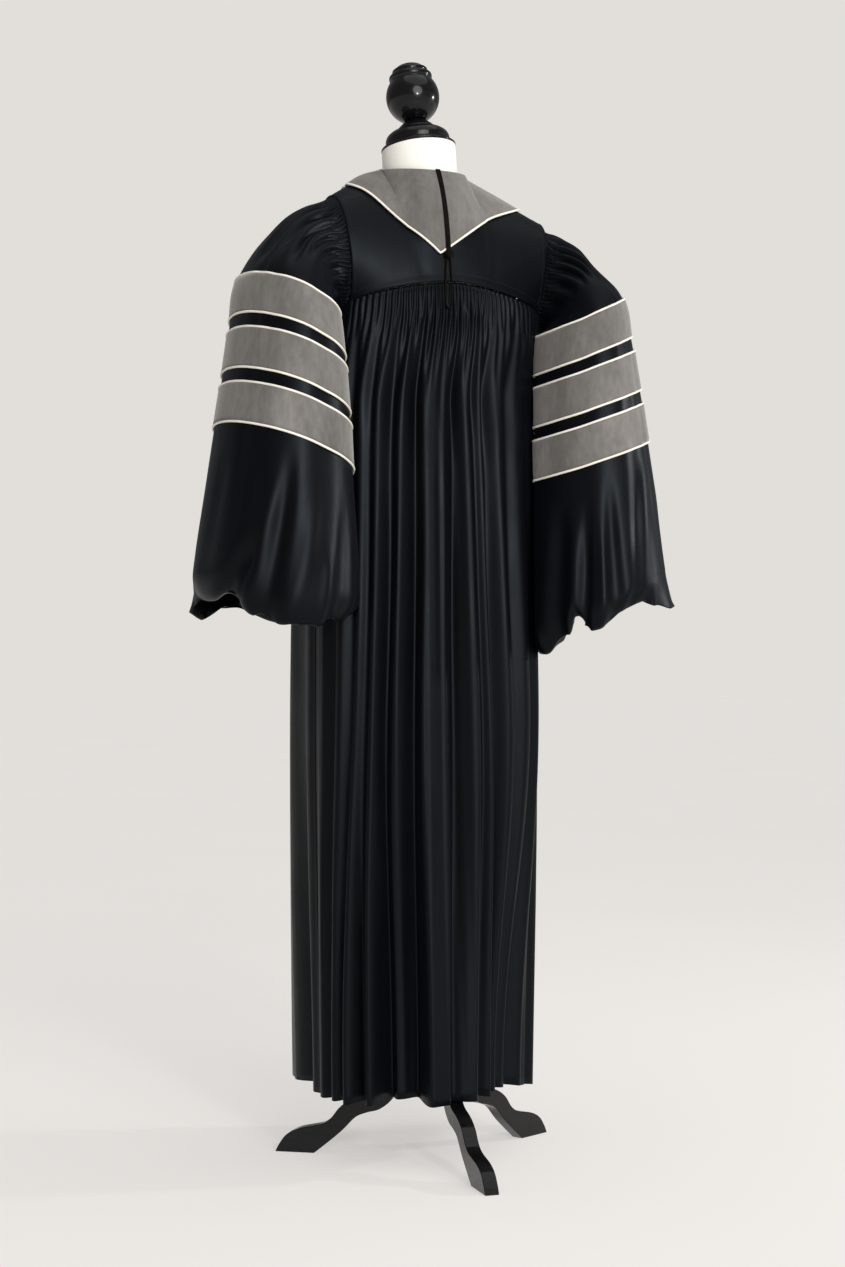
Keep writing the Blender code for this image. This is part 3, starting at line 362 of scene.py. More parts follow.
def read_round(rows, at_deg):
    """Soft curves through a table that goes all the way round, from -180 to 180 degrees."""
    places, *columns = np.array(rows, float).T
    places = np.append(places, places[0] + 360)
    at = (np.asarray(at_deg, float) + 180) % 360 - 180
    i = np.clip(np.searchsorted(places, at, side="right") - 1, 0, len(rows) - 1)
    f = ease((at - places[i]) / (places[i + 1] - places[i]))
    rounds = [np.append(values, values[0]) for values in columns]
    return [values[i] + (values[i + 1] - values[i]) * f for values in rounds]


def ease(f):
    f = np.clip(f, 0.0, 1.0)
    return f * f * (3 - 2 * f)


def spread(start, end, count):
    return np.linspace(start, end, count)


def angle_off(deg, middle):
    return (deg - middle + 180) % 360 - 180


def xyz(x, y, z):
    return np.stack(np.broadcast_arrays(x, y, z), axis=-1).astype(float)


# ---------------------------------------------------------------- body below the yoke


def body_radius(turn, z):
    half_width, back, front = read(BODY, z)
    behind = np.cos(turn) > 0
    depth = np.where(behind, back, front)
    squareness = np.where(behind, BACK_SQUARENESS, FRONT_SQUARENESS)
    across = (np.abs(np.sin(turn)) / half_width) ** squareness
    along = (np.abs(np.cos(turn)) / depth) ** squareness
    return (across + along) ** (-1 / squareness)


def body_outline(turn, z, inset=0.0):
    r = body_radius(turn, z) - inset
    return xyz(r * np.sin(turn), BODY_AXIS_Y + r * np.cos(turn), z)


def turn_where_y_is(y):
    y = np.asarray(y, float)
    low, high = np.zeros_like(y), np.full_like(y, pi)
    for _ in range(40):
        middle = (low + high) / 2
        above = body_outline(middle, YOKE_SEAM_Z)[..., 1] > y
        low, high = np.where(above, middle, low), np.where(above, high, middle)
    return (low + high) / 2


ARMHOLE_REACH = ARMHOLE_HALF_DEPTH * sin(SEAM_END_TURN)
BACK_END = float(turn_where_y_is(ARMHOLE_Y + ARMHOLE_REACH))
FRONT_END = float(turn_where_y_is(ARMHOLE_Y - ARMHOLE_REACH))
SEAM_END_Z = ARMHOLE_Z + ARMHOLE_HALF_HEIGHT * cos(SEAM_END_TURN)


def body_top(turn):
    turn = np.abs(turn)
    seam = YOKE_SEAM_Z + (SEAM_END_Z - YOKE_SEAM_Z) * (turn / BACK_END) ** 2
    off = (body_outline(turn, YOKE_SEAM_Z)[..., 1] - ARMHOLE_Y) / ARMHOLE_HALF_DEPTH
    armhole = ARMHOLE_Z - ARMHOLE_HALF_HEIGHT * np.sqrt(np.clip(1 - off * off, 0.0, 1.0))
    return np.where(turn < BACK_END, seam, np.where(turn > FRONT_END, SEAM_END_Z, armhole))


def fold_line_at(line, z):
    to_top = ease((FOLD_FADE_Z - z) / (FOLD_FADE_Z - FOLD_TOP_Z))
    to_middle = ease((FOLD_TOP_Z - z) / (FOLD_TOP_Z - FOLD_MIDDLE_Z))
    to_hem = ease((FOLD_MIDDLE_Z - z) / (FOLD_MIDDLE_Z - HEM_Z))
    deg = line.top_deg + (line.middle_deg - line.top_deg) * to_middle
    deg = deg + (line.hem_deg - line.middle_deg) * to_hem
    inset = line.top * to_top + (line.middle - line.top) * to_middle
    return deg, inset + (line.hem - line.middle) * to_hem


def fold_inset(turn, z):
    """The long folds: broad round ridges with narrower troughs between them."""
    turn, z = np.broadcast_arrays(np.asarray(turn, float), np.asarray(z, float))
    at = np.degrees(turn)
    total = np.zeros_like(at)
    for lines, here in ((BACK_FOLDS, np.abs(at) <= 90), (FRONT_FOLDS, np.abs(at) > 90)):
        place = np.where(here, at, 0) if lines is BACK_FOLDS else np.minimum(np.abs(at), 180)
        spots = [fold_line_at(line, z) for line in lines]
        for (deg, inset), (next_deg, next_inset) in zip(spots, spots[1:]):
            inside = here & (place >= deg) & (place <= next_deg)
            f = 0.5 - 0.5 * np.cos(pi * np.clip((place - deg) / (next_deg - deg), 0, 1))
            f = np.where(next_inset > inset, f ** 1.25, 1 - (1 - f) ** 1.25)
            total = np.where(inside, inset + (next_inset - inset) * f, total)
    return total * (1 - UPPER_FOLD_LOSS * ease((z - 0.30) / 0.40))


def pleats(turn, below_seam):
    """Cartridge pleats at the yoke seam, and the gathers that they open into."""
    share = turn / BACK_END
    wave = np.abs(np.sin(share * FLUTES * pi / 2))
    number = np.floor(share * FLUTES / 2)
    uneven = 0.011 * np.sin(number * 2.4) + 0.006 * np.sin(number * 5.1 + 1.0)
    reach = FLUTE_REACH + uneven
    held = 0.35 + 0.65 * ease(below_seam / 0.005)
    flute = held * (1 - ease((below_seam - reach) / 0.030))
    inset = FLUTE_DEPTH * flute * (1 - wave ** 0.8) - 0.0016 * ease(below_seam / 0.012) * flute
    deg = np.degrees(turn)
    for row in GATHERS:
        middle = degrees(BACK_END) * row.at + row.lean_deg * below_seam / 0.2
        half = row.half_deg * (0.75 + 0.95 * ease(below_seam / 0.16))
        past = below_seam - GATHER_REACH_SHARE * row.reach
        shown = ease((below_seam - 0.012) / 0.045) * (1 - ease(past / 0.13))
        inset = inset + GATHER_SHARE * row.depth * shown * np.exp(-((deg - middle) / half) ** 2)
    swell = ease((below_seam - 0.02) / 0.05) * (1 - ease((below_seam - 0.10) / 0.16))
    inset = inset - 0.0030 * swell
    edge = ease((BACK_END - np.abs(turn)) / 0.06)
    return np.where(np.abs(turn) < BACK_END, inset * edge, 0.0)


def soft_ripples(turn, z):
    """Faint long ripples between the main folds."""
    deg = np.degrees(turn)
    waves = np.sin(deg * 0.62 + 1.3 * np.sin(2.3 * z) + 0.4)
    waves = waves + 0.8 * np.sin(deg * 0.39 - 1.7 * np.sin(1.7 * z + 0.6))
    waves = waves + 0.5 * np.sin(deg * 1.07 + 2.1 * np.sin(3.1 * z + 2.0))
    return 0.0005 * waves * ease((1.18 - z) / 0.3)


def side_window(turn):
    """1 across the back or the front, and 0 at a side seam or the front edges."""
    near_side = np.abs(np.abs(turn) - pi / 2)
    return ease(near_side / 0.12) * ease((pi - np.abs(turn)) / 0.2)


def body_point(turn, down, top_gap=0.0):
    top = body_top(turn) - top_gap
    hem = HEM_Z + HEM_RISE * fold_inset(turn, HEM_Z)
    z = top + (hem - top) * down
    window = side_window(turn)
    wander = radians(1.0) * np.sin(6.1 * z + 2.6 * turn) * window * ease((1.1 - z) / 0.3)
    inset = fold_inset(turn + wander, z) + pleats(turn, top - z)
    inset = inset + soft_ripples(turn, z) * window
    return body_outline(turn, z, inset)


# ---------------------------------------------------------------- yoke and shoulders


def armhole_point(turn):
    turn = (np.asarray(turn, float) + pi) % (2 * pi) - pi
    y = ARMHOLE_Y + ARMHOLE_HALF_DEPTH * np.sin(turn)
    z = ARMHOLE_Z + ARMHOLE_HALF_HEIGHT * np.cos(turn)
    on_body = np.maximum(np.abs(turn), SEAM_END_TURN)
    y_on_body = ARMHOLE_Y + ARMHOLE_HALF_DEPTH * np.sin(on_body) * np.where(turn >= 0, 1, -1)
    x = body_outline(turn_where_y_is(y_on_body), YOKE_SEAM_Z)[..., 0]
    rise = 1 - ease(np.abs(turn) / SEAM_END_TURN)
    return xyz(x + (SHOULDER_TIP[0] - x) * rise, y, z)


def top_edge(across, back):
    across = np.asarray(across, float)[..., None]
    side = np.array([NECK_HOLE_R, NECK_Y, NECK_Z - NECK_SIDE_DROP])
    f = np.clip((across - NECK_SHARE) / (1 - NECK_SHARE), 0, 1)
    outer = side + (np.array(SHOULDER_TIP) - side) * f
    outer = outer - np.array([0, 0, SHOULDER_DIP]) * np.sin(pi * f)
    f = np.clip(across / NECK_SHARE, 0, 1)
    if back:
        s, c = np.sin(f * pi / 2), np.cos(f * pi / 2)
        inner = np.concatenate(
            [NECK_HOLE_R * s, NECK_Y + NECK_HOLE_R * c, NECK_Z - NECK_SIDE_DROP * (1 - c)], -1
        )
    else:
        low = np.array([0.0, FRONT_NECK_Y, FRONT_NECK_Z])
        bow = np.array([FRONT_NECK_BOW, -FRONT_NECK_BOW, 0.0])
        inner = low + (side - low) * f + bow * np.sin(pi * f)
    return np.where(across >= NECK_SHARE, outer, inner)


def plain_shoulder(across, down, back):
    start = top_edge(across, back)
    turn = BACK_END * across if back else pi + (FRONT_END - pi) * across
    end = body_outline(turn, body_top(turn))
    control = (start + end) / 2
    control[..., 1] = start[..., 1] + (end[..., 1] - start[..., 1]) * 0.92
    control[..., 2] = start[..., 2] + (end[..., 2] - start[..., 2]) * 0.30
    d = down[..., None]
    return (1 - d) ** 2 * start + 2 * d * (1 - d) * control + d ** 2 * end


def shoulder_point(across, down, back):
    across, down = np.broadcast_arrays(np.asarray(across, float), np.asarray(down, float))
    end_turn = SEAM_END_TURN if back else -SEAM_END_TURN
    to_armhole = armhole_point(end_turn * down) - plain_shoulder(np.ones_like(down), down, back)
    share = np.clip((across - 0.5) / 0.5, 0, 1)[..., None] ** 2
    point = plain_shoulder(across, down, back) + to_armhole * share
    point[..., 1] += SHOULDER_SEAM_HALF_GAP * (1 - down) ** 3 * (1 if back else -1)
    return point


def yoke_point(signed, down):
    """A point of the back yoke; shares across it are negative on the wearer's right."""
    point = shoulder_point(np.abs(signed), down, True)
    point[..., 0] *= np.where(signed < 0, -1.0, 1.0)
    return point


def solve(falls, target, low=0.0, high=1.0):
    """Where a function that falls from low to high reaches each target."""
    target = np.asarray(target, float)
    low, high = np.full(target.shape, float(low)), np.full(target.shape, float(high))
    for _ in range(26):
        middle = (low + high) / 2
        before = falls(middle) > target
        low, high = np.where(before, middle, low), np.where(before, high, middle)
    return (low + high) / 2


# ---------------------------------------------------------------- sleeves


def pushed_off_body(point):
    dx, dy = point[..., 0], point[..., 1] - BODY_AXIS_Y
    distance = np.hypot(dx, dy)
    low = np.minimum(point[..., 2], YOKE_SEAM_Z)
    least = body_radius(np.arctan2(dx, dy), low) + SLEEVE_CLEARANCE
    grow = np.maximum(1.0, least / distance)
    return xyz(dx * grow, BODY_AXIS_Y + dy * grow, point[..., 2])


def plain_sleeve(turn, row, side):
    outer_x, outer_z, inner_x, inner_z, half_depth, centre_y = read(SLEEVE, row)
    x = (outer_x + inner_x) / 2 + (outer_x - inner_x) / 2 * np.cos(turn)
    y = centre_y + half_depth * np.sin(turn)
    z = (outer_z + inner_z) / 2 + (outer_z - inner_z) / 2 * np.cos(turn)
    outer, inner = HEM_HANG[side]
    low = (outer + inner) / 2 + (outer - inner) / 2 * np.cos(turn)
    z = z - low * ease((row - 8) / 4)
    start = armhole_point(turn) + np.array([SEAM_GAP + CLOTH_WALL, 0, 0])
    settled = ease(row / SLEEVE_SETTLED_ROW)[..., None]
    return start + (pushed_off_body(xyz(x, y, z)) - start) * settled


def head_pleats(turn, row):
    """Fine cartridge pleats round the armhole, and the folds they open into."""
    deg = np.degrees(turn)
    from_behind, from_ahead = angle_off(deg, 90), angle_off(deg, -90)
    wide, narrow = 2 * AHEAD_HALF_DEG, 2 * BEHIND_HALF_DEG
    behind = np.clip(from_behind + BEHIND_HALF_DEG, 0, narrow) / narrow * BEHIND_PLEATS
    ahead = np.clip(from_ahead + AHEAD_HALF_DEG, 0, wide) / wide * AHEAD_PLEATS
    phase = np.where(np.abs(from_behind) <= BEHIND_HALF_DEG, behind, ahead)
    wave = np.abs(np.sin(phase * pi))
    number = np.floor(phase)
    reach = 0.58 + 0.10 * np.sin(number * 2.4) + 0.07 * np.sin(number * 5.3)
    flute = (0.3 + 0.7 * ease(row / 0.10)) * (1 - ease((row - reach) / 0.42))
    inset = 0.0030 * flute * (1 - wave ** 0.8)
    for fold in HEAD_FOLDS:
        middle = fold.turn_deg + fold.lean_deg * (row - 1) / 2
        half = fold.half_deg * (0.55 + 0.35 * row)
        shown = ease((row - 0.35) / 0.7) * (1 - ease((row - fold.last_row + 0.9) / 0.9))
        inset = inset + fold.depth * shown * np.exp(-(angle_off(deg, middle) / half) ** 2)
    return inset


def sleeve_creases(turn, row, side):
    deg = np.degrees(turn)
    inset = np.zeros_like(deg)
    for dent in DENTS[side]:
        middle = dent.turn_deg + dent.lean_deg * (row - 5.5) / 3
        shown = ease((row - 1.8) / 1.2) * (1 - ease((row - 8.6) / 1.6))
        inset = inset + dent.depth * shown * np.exp(-(angle_off(deg, middle) / dent.half_deg) ** 2)
    for crease in CREASES[side]:
        f = (row - crease.from_row) / (crease.to_row - crease.from_row)
        middle = crease.from_deg + (crease.to_deg - crease.from_deg) * f
        half = crease.half_deg * (0.65 + 0.35 * np.clip(f, 0, 1))
        shown = ease(f / 0.30) * (1 - ease((row - crease.to_row) / 0.8))
        off = angle_off(deg, middle) / half
        inset = inset + CREASE_SHARE * crease.depth * shown * np.exp(-np.abs(off) ** 2.2)
    return inset


def sleeve_wall(turn, row, side):
    """Rows up to ROLL_FROM_ROW follow the sleeve; the rest is its hem, rolled or hanging."""
    turn, row = np.broadcast_arrays(np.asarray(turn, float), np.asarray(row, float))
    rolled = plain_sleeve(turn, row, side)
    past = np.clip((row - ROLL_FROM_ROW) / (LAST_ROW - ROLL_FROM_ROW), 0, 1)
    above = plain_sleeve(turn, np.minimum(row, ROLL_FROM_ROW), side)
    out = above - np.array([SLEEVE_AXIS[0], SLEEVE_AXIS[1], 0])
    out[..., 2] = 0
    out = out / np.linalg.norm(out, axis=-1, keepdims=True)
    straight = above + out * (STRAIGHT_FLARE * past ** 1.5)[..., None]
    straight[..., 2] -= STRAIGHT_HEM * past
    roll, drop = read_round(SLEEVE_HEMS[side], np.degrees(turn))
    point = straight + (rolled - straight) * roll[..., None]
    point[..., 2] -= drop * ease((row - 9.6) / 2.2)
    sag = ease(row / 0.9) * (1 - ease((row - 1.9) / 1.1)) * ease((np.cos(turn) + 0.2) / 1.0)
    point[..., 2] -= HEAD_SAG[side] * sag
    inset = head_pleats(turn, row) + sleeve_creases(turn, row, side)
    return point - outward(point, SLEEVE_AXIS, True) * inset[..., None]


def settled_gown(grid, share=1.0):
    """The gown has slipped to the wearer's right on the form, and rides up on its left."""
    moved = grid.copy()
    x, z = grid[..., 0], grid[..., 2]
    at_neck = ease((z - 1.33) / 0.12) * (1 - ease((np.abs(x) - 0.056) / 0.09))
    moved[..., 0] -= SLIP * ease((z - 1.10) / 0.16) * (1 - at_neck) * share
    lift = np.where(x > 0, SHOULDER_LIFT["left"], SHOULDER_LIFT["right"])
    high = ease((z - 1.33) / 0.08) * ease((np.abs(x) - 0.055) / 0.07)
    moved[..., 2] += lift * high * share
    return moved


# ---------------------------------------------------------------- making pieces


def outward(grid, axis, closed):
    """Unit normals of a grid of points that point away from an upright axis."""
    down = np.gradient(grid, axis=0)
    if closed:
        across = np.roll(grid, -1, axis=1) - np.roll(grid, 1, axis=1)
    else:
        across = np.gradient(grid, axis=1)
    normal = np.cross(down, across)
    normal = normal / np.maximum(np.linalg.norm(normal, axis=2, keepdims=True), 1e-9)
    away = grid[..., :2] - np.array(axis)
    return -normal if np.sum(normal[..., :2] * away) < 0 else normal


def mirrored(grid, side):
    """A grid worked out on the wearer's left, or its mirror image for the right."""
    return grid if side == "left" else grid * np.array([-1.0, 1.0, 1.0])


def smooth_grid(name, grid, finish, wall=0.0, axis=(0.0, BODY_AXIS_Y), closed=False):
    """A cloth piece on a grid of points, with its cut's measure as UV, thickened inwards."""
    rows, columns = grid.shape[:2]
    index = np.arange(rows * columns).reshape(rows, columns)
    right = np.roll(index, -1, axis=1) if closed else index[:, 1:]
    left = index if closed else index[:, :-1]
    faces = np.stack([left[:-1], left[1:], right[1:], right[:-1]], axis=-1).reshape(-1, 4)
    raw = np.cross(np.gradient(grid, axis=0), np.gradient(grid, axis=1))
    flip = np.sum(raw * outward(grid, axis, closed)) < 0
    mesh = bpy.data.meshes.new(name)
    if flip:
        faces = faces[:, ::-1]
    mesh.from_pydata(grid.reshape(-1, 3).tolist(), [], faces.tolist())
    add_uv(mesh, grid, closed, flip)
    mesh.shade_smooth()
    return finished(name, mesh, finish, wall)


def add_uv(mesh, grid, closed, flip):
    rows, columns = grid.shape[:2]
    following = np.concatenate([grid[:, 1:], grid[:, :1]], axis=1) if closed else grid[:, 1:]
    across = np.linalg.norm(following - grid[:, :following.shape[1]], axis=2).mean(axis=0)
    down = np.linalg.norm(np.diff(grid, axis=0), axis=2).mean(axis=1)
    u = np.concatenate([[0], np.cumsum(across)])
    v = -np.concatenate([[0], np.cumsum(down)])
    i, j = np.meshgrid(np.arange(rows - 1), np.arange(len(across)), indexing="ij")
    corners = [(i, j), (i + 1, j), (i + 1, j + 1), (i, j + 1)]
    if flip:
        corners = corners[::-1]
    spots = np.stack([np.stack([u[b], v[a]], axis=-1) for a, b in corners], axis=2)
    layer = mesh.uv_layers.new(name="cut")
    layer.data.foreach_set("uv", spots.reshape(-1).astype(np.float32))


def finished(name, data, finish, wall=0.0):
    made = placed(name, data)
    data.materials.append(finish)
    if wall:
        thicken(made, wall)
    return made


def thicken(piece, wall):
    shell = piece.modifiers.new("Wall", "SOLIDIFY")
    shell.thickness = wall
    shell.offset = -1.0


def tube(name, points, radius, finish, closed=False, resolution=3):
    """A round cord or piping through points."""
    curve = bpy.data.curves.new(name, "CURVE")
    curve.dimensions = "3D"
    curve.bevel_depth = radius
    curve.bevel_resolution = resolution
    curve.use_fill_caps = True
    line = curve.splines.new("POLY")
    line.points.add(len(points) - 1)
    for spot, point in zip(line.points, points):
        spot.co = (*point, 1.0)
    line.use_cyclic_u = closed
    return finished(name, curve, finish)


def beside(line, other, closed, step):
    """Where piping lies: next to an edge, on the side away from the piece's other line."""
    if closed:
        along = np.roll(line, -1, axis=0) - np.roll(line, 1, axis=0)
    else:
        along = np.gradient(line, axis=0)
    along = along / np.linalg.norm(along, axis=1, keepdims=True)
    away = line - other
    away = away - along * np.sum(away * along, axis=1, keepdims=True)
    return line + away / np.linalg.norm(away, axis=1, keepdims=True) * step


def length_along(line):
    """How far along a line of points each of them lies."""
    return np.concatenate([[0], np.cumsum(np.linalg.norm(np.diff(line, axis=0), axis=1))])


def stitches(name, line, out, finish, length=0.0026, pitch=0.0040, radius=0.00030):
    """A row of short raised stitches along a line that lies on the cloth."""
    reach = length_along(line)
    shape = bmesh.new()
    for start in np.arange(0.001, reach[-1] - length, pitch):
        ends = [
            np.array([np.interp(s, reach, line[:, k]) for k in range(3)])
            for s in (start, start + length)
        ]
        normal = np.array([np.interp(start, reach, out[:, k]) for k in range(3)])
        middle, along = Vector((ends[0] + ends[1]) / 2), Vector(ends[1] - ends[0])
        turn = along.to_track_quat("X", "Z").to_matrix().to_4x4()
        place = Matrix.Translation(middle + Vector(normal) * radius * 0.6) @ turn
        place = place @ Matrix.Diagonal((along.length / 2, radius, radius, 1.0))
        bmesh.ops.create_icosphere(shape, subdivisions=1, radius=1.0, matrix=place)
    mesh = bpy.data.meshes.new(name)
    shape.to_mesh(mesh)
    shape.free()
    mesh.shade_smooth()
    return finished(name, mesh, finish)


def turned(name, profile, place, rotation, finish, steps=72):
    """A turned piece: its profile spun round an axis, then set at an angle."""
    mesh = bpy.data.meshes.new(name)
    corners = [(max(r, 0.0), 0.0, h) for r, h in profile]
    mesh.from_pydata(corners, [(i, i + 1) for i in range(len(corners) - 1)], [])
    made = finished(name, mesh, finish)
    spin = made.modifiers.new("Turn", "SCREW")
    spin.steps = steps
    spin.render_steps = steps
    spin.use_merge_vertices = True
    spin.merge_threshold = 0.00002
    spin.use_smooth_shade = True
    made.location = place
    made.rotation_euler = rotation
    return made


def eased_profile(profile, cut=0.0022, rounds=3):
    """A profile with its corners rounded off a little more at each round."""
    points = [np.array(point) for point in profile]
    for _ in range(rounds):
        eased = [points[0]]
        for before, point, after in zip(points, points[1:], points[2:]):
            for other in (before, after):
                gap = np.linalg.norm(other - point)
                eased.append(point + (other - point) * min(0.25, cut / gap))
        points = eased + [points[-1]]
        cut *= 0.5
    return [tuple(p) for p in points]


# ---------------------------------------------------------------- materials


class Finish:
    """A node material, with short ways to add the textures that these finishes share."""

    def __init__(self, name, **sockets):
        self.material = bpy.data.materials.new(name)
        self.material.use_nodes = True
        self.tree = self.material.node_tree
        self.shader = self.tree.nodes["Principled BSDF"]
        for socket, value in sockets.items():
            self.shader.inputs[socket.replace("_", " ")].default_value = value
        self.height = None

    def node(self, kind, **settings):
        made = self.tree.nodes.new(kind)
        for key, value in settings.items():
            if hasattr(made, key):
                setattr(made, key, value)
            else:
                made.inputs[key.replace("_", " ")].default_value = value
        return made

    def link(self, out, into):
        """Joins two sockets; a name stands for a socket of the shader."""
        self.tree.links.new(out, self.shader.inputs[into] if isinstance(into, str) else into)

    def place(self, output, scale):
        """Texture coordinates in metres, times a scale for each direction."""
        where = self.node("ShaderNodeTexCoord")
        sized = self.node("ShaderNodeMapping", Scale=scale)
        self.link(where.outputs[output], sized.inputs["Vector"])
        return sized.outputs["Vector"]

    def noise(self, scale, detail=4.0, stretch=(1, 1, 1), output="Object"):
        made = self.node("ShaderNodeTexNoise", Scale=scale, Detail=detail)
        self.link(self.place(output, stretch), made.inputs["Vector"])
        return made.outputs["Fac"]

    def waves(self, scale, stretch=(1, 1, 1), output="UV", direction="X", distortion=0.0):
        made = self.node(
            "ShaderNodeTexWave", Scale=scale, Distortion=distortion, bands_direction=direction
        )
        self.link(self.place(output, stretch), made.inputs["Vector"])
        return made.outputs["Fac"]

    def ranged(self, value, low, high, from_low=0.3, from_high=0.7):
        made = self.node("ShaderNodeMapRange")
        for key, number in zip(
            ("From Min", "From Max", "To Min", "To Max"), (from_low, from_high, low, high)
        ):
            made.inputs[key].default_value = number
        self.link(value, made.inputs["Value"])
        return made.outputs["Result"]

    def colours(self, value, *stops):
        made = self.node("ShaderNodeValToRGB")
        ramp = made.color_ramp
        while len(ramp.elements) < len(stops):
            ramp.elements.new(0.5)
        for element, (at, colour) in zip(ramp.elements, stops):
            element.position = at
            element.color = (*colour, 1.0)
        self.link(value, made.inputs["Fac"])
        return made.outputs["Color"]

    def base(self, value, *stops):
        self.link(self.colours(value, *stops), "Base Color")

    def times(self, a, b):
        made = self.node("ShaderNodeMath", operation="MULTIPLY")
        self.link(a, made.inputs[0])
        self.link(b, made.inputs[1])
        return made.outputs[0]

    def bump(self, value, distance, strength=1.0):
        made = self.node("ShaderNodeBump", Strength=strength, Distance=distance)
        self.link(value, made.inputs["Height"])
        if self.height is not None:
            self.link(self.height, made.inputs["Normal"])
        self.height = made.outputs["Normal"]
        self.link(self.height, "Normal")


def satin_finish():
    made = Finish(
        "black_satin_polyester", Roughness=0.42, Specular_IOR_Level=0.115, Sheen_Weight=0.012,
        Sheen_Roughness=0.45, Sheen_Tint=(0.45, 0.58, 1.0, 1.0),
        Specular_Tint=(0.78, 0.88, 1.0, 1.0),
    )
    made.base(
        made.noise(5.0, 5.0, (1, 1, 0.35)),
        (0.30, (0.0011, 0.0014, 0.0018)), (0.70, (0.0022, 0.0027, 0.0036)),
    )
    wear = made.noise(38.0, 4.0, (1, 1, 0.3))
    made.link(made.ranged(wear, 0.37, 0.47), "Roughness")
    made.bump(made.noise(60.0, 3.0, (1, 1, 0.25)), 0.0006, 0.30)
    made.bump(made.waves(520.0, (1, 0.5, 1), "UV", "DIAGONAL", 0.6), 0.00008, 0.35)
    return made.material


def velvet_finish():
    made = Finish(
        "grey_velvet", Roughness=0.92, Specular_IOR_Level=0.18, Sheen_Weight=0.55,
        Sheen_Roughness=0.38, Sheen_Tint=(0.92, 0.90, 0.86, 1.0),
    )
    nap = made.noise(16.0, 6.0, (1, 1, 0.30))
    brushed = made.noise(130.0, 5.0, (1, 1, 0.45))
    colour = made.colours(
        nap, (0.28, (0.116, 0.108, 0.101)), (0.50, (0.155, 0.145, 0.136)),
        (0.74, (0.216, 0.203, 0.191)),
    )
    shade = made.colours(brushed, (0.30, (0.84, 0.84, 0.84)), (0.72, (1.08, 1.08, 1.08)))
    mix = made.node("ShaderNodeMix", data_type="RGBA", blend_type="MULTIPLY")
    mix.inputs["Factor"].default_value = 1.0
    made.link(colour, mix.inputs[6])
    made.link(shade, mix.inputs[7])
    made.link(mix.outputs[2], "Base Color")
    made.bump(made.noise(22.0, 4.0, (1, 1, 0.4)), 0.0012, 0.35)
    made.bump(made.noise(1400.0, 2.0), 0.00025, 0.55)
    return made.material


def piping_finish():
    made = Finish("ivory_piping", Roughness=0.50, Sheen_Weight=0.15, Sheen_Roughness=0.4)
    made.base(made.noise(45.0, 4.0), (0.30, (0.80, 0.75, 0.64)), (0.70, (0.90, 0.87, 0.78)))
    made.bump(made.waves(260.0, (1, 1, 1), "Object", "DIAGONAL", 1.0), 0.00015, 0.35)
    return made.material


def braid_finish():
    made = Finish("black_braid", Roughness=0.70, Specular_IOR_Level=0.06, Sheen_Weight=0.0)
    made.base(
        made.noise(220.0, 3.0),
        (0.30, (0.0018, 0.0015, 0.0013)), (0.75, (0.0062, 0.0040, 0.0024)),
    )
    made.bump(made.waves(420.0, (1, 1, 1.0), "Object", "DIAGONAL", 0.5), 0.0003, 0.6)
    return made.material


def jersey_finish():
    made = Finish(
        "cream_jersey", Roughness=0.82, Specular_IOR_Level=0.2, Sheen_Weight=0.25,
        Sheen_Roughness=0.5,
    )
    made.base(made.noise(9.0, 5.0), (0.30, (0.86, 0.83, 0.76)), (0.70, (0.91, 0.885, 0.825)))
    ribs = made.waves(520.0, (1, 1, 1), "UV", "X", 0.3)
    rows = made.waves(380.0, (1, 1, 1), "UV", "Y", 0.3)
    made.bump(made.times(ribs, rows), 0.0002, 0.30)
    return made.material


def wood_finish():
    made = Finish(
        "gloss_black_wood", Roughness=0.26, Coat_Weight=0.55, Coat_Roughness=0.07,
        Coat_IOR=1.36, Specular_IOR_Level=0.12,
    )
    made.base(
        made.noise(26.0, 6.0, (1, 1, 6)),
        (0.30, (0.0026, 0.0026, 0.0030)), (0.72, (0.0058, 0.0056, 0.0062)),
    )
    polish = made.noise(75.0, 5.0, (1, 1, 3))
    made.link(made.ranged(polish, 0.16, 0.34), "Roughness")
    made.bump(made.noise(120.0, 4.0, (1, 1, 5)), 0.0002, 0.25)
    return made.material


def thread_finish():
    made = Finish("black_thread", Roughness=0.5, Specular_IOR_Level=0.4)
    made.base(made.noise(900.0, 2.0), (0.3, (0.008, 0.009, 0.011)), (0.7, (0.02, 0.022, 0.026)))
    return made.material


def floor_finish():
    made = Finish("pale_floor", Roughness=0.95, Specular_IOR_Level=0.0)
    made.base(
        made.noise(0.8, 3.0), (0.3, (0.42, 0.41, 0.395)), (0.7, (0.43, 0.42, 0.405))
    )
    made.shader.inputs["Emission Color"].default_value = (1.0, 0.972, 0.936, 1.0)
    made.shader.inputs["Emission Strength"].default_value = 0.475
    return made.material


SATIN, GREY, IVORY, BRAID = satin_finish(), velvet_finish(), piping_finish(), braid_finish()
JERSEY, WOOD, THREAD = jersey_finish(), wood_finish(), thread_finish()


def belongs(piece, slot, *nodes):
    """The piece moves with the only body, and stands for these solids."""
    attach(piece, "root")
    if nodes:
        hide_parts(*nodes)
    return piece


# ---------------------------------------------------------------- the cord's loop


def back_line_y(z):
    """The outermost back of the gown at its centre line, at each height."""
    z = np.asarray(z, float)
    down = solve(lambda v: shoulder_point(0.0, v, True)[..., 2], z)
    above = shoulder_point(0.0, down, True)[..., 1]
    return np.where(z < YOKE_SEAM_Z, body_outline(0.0, z)[..., 1], above)


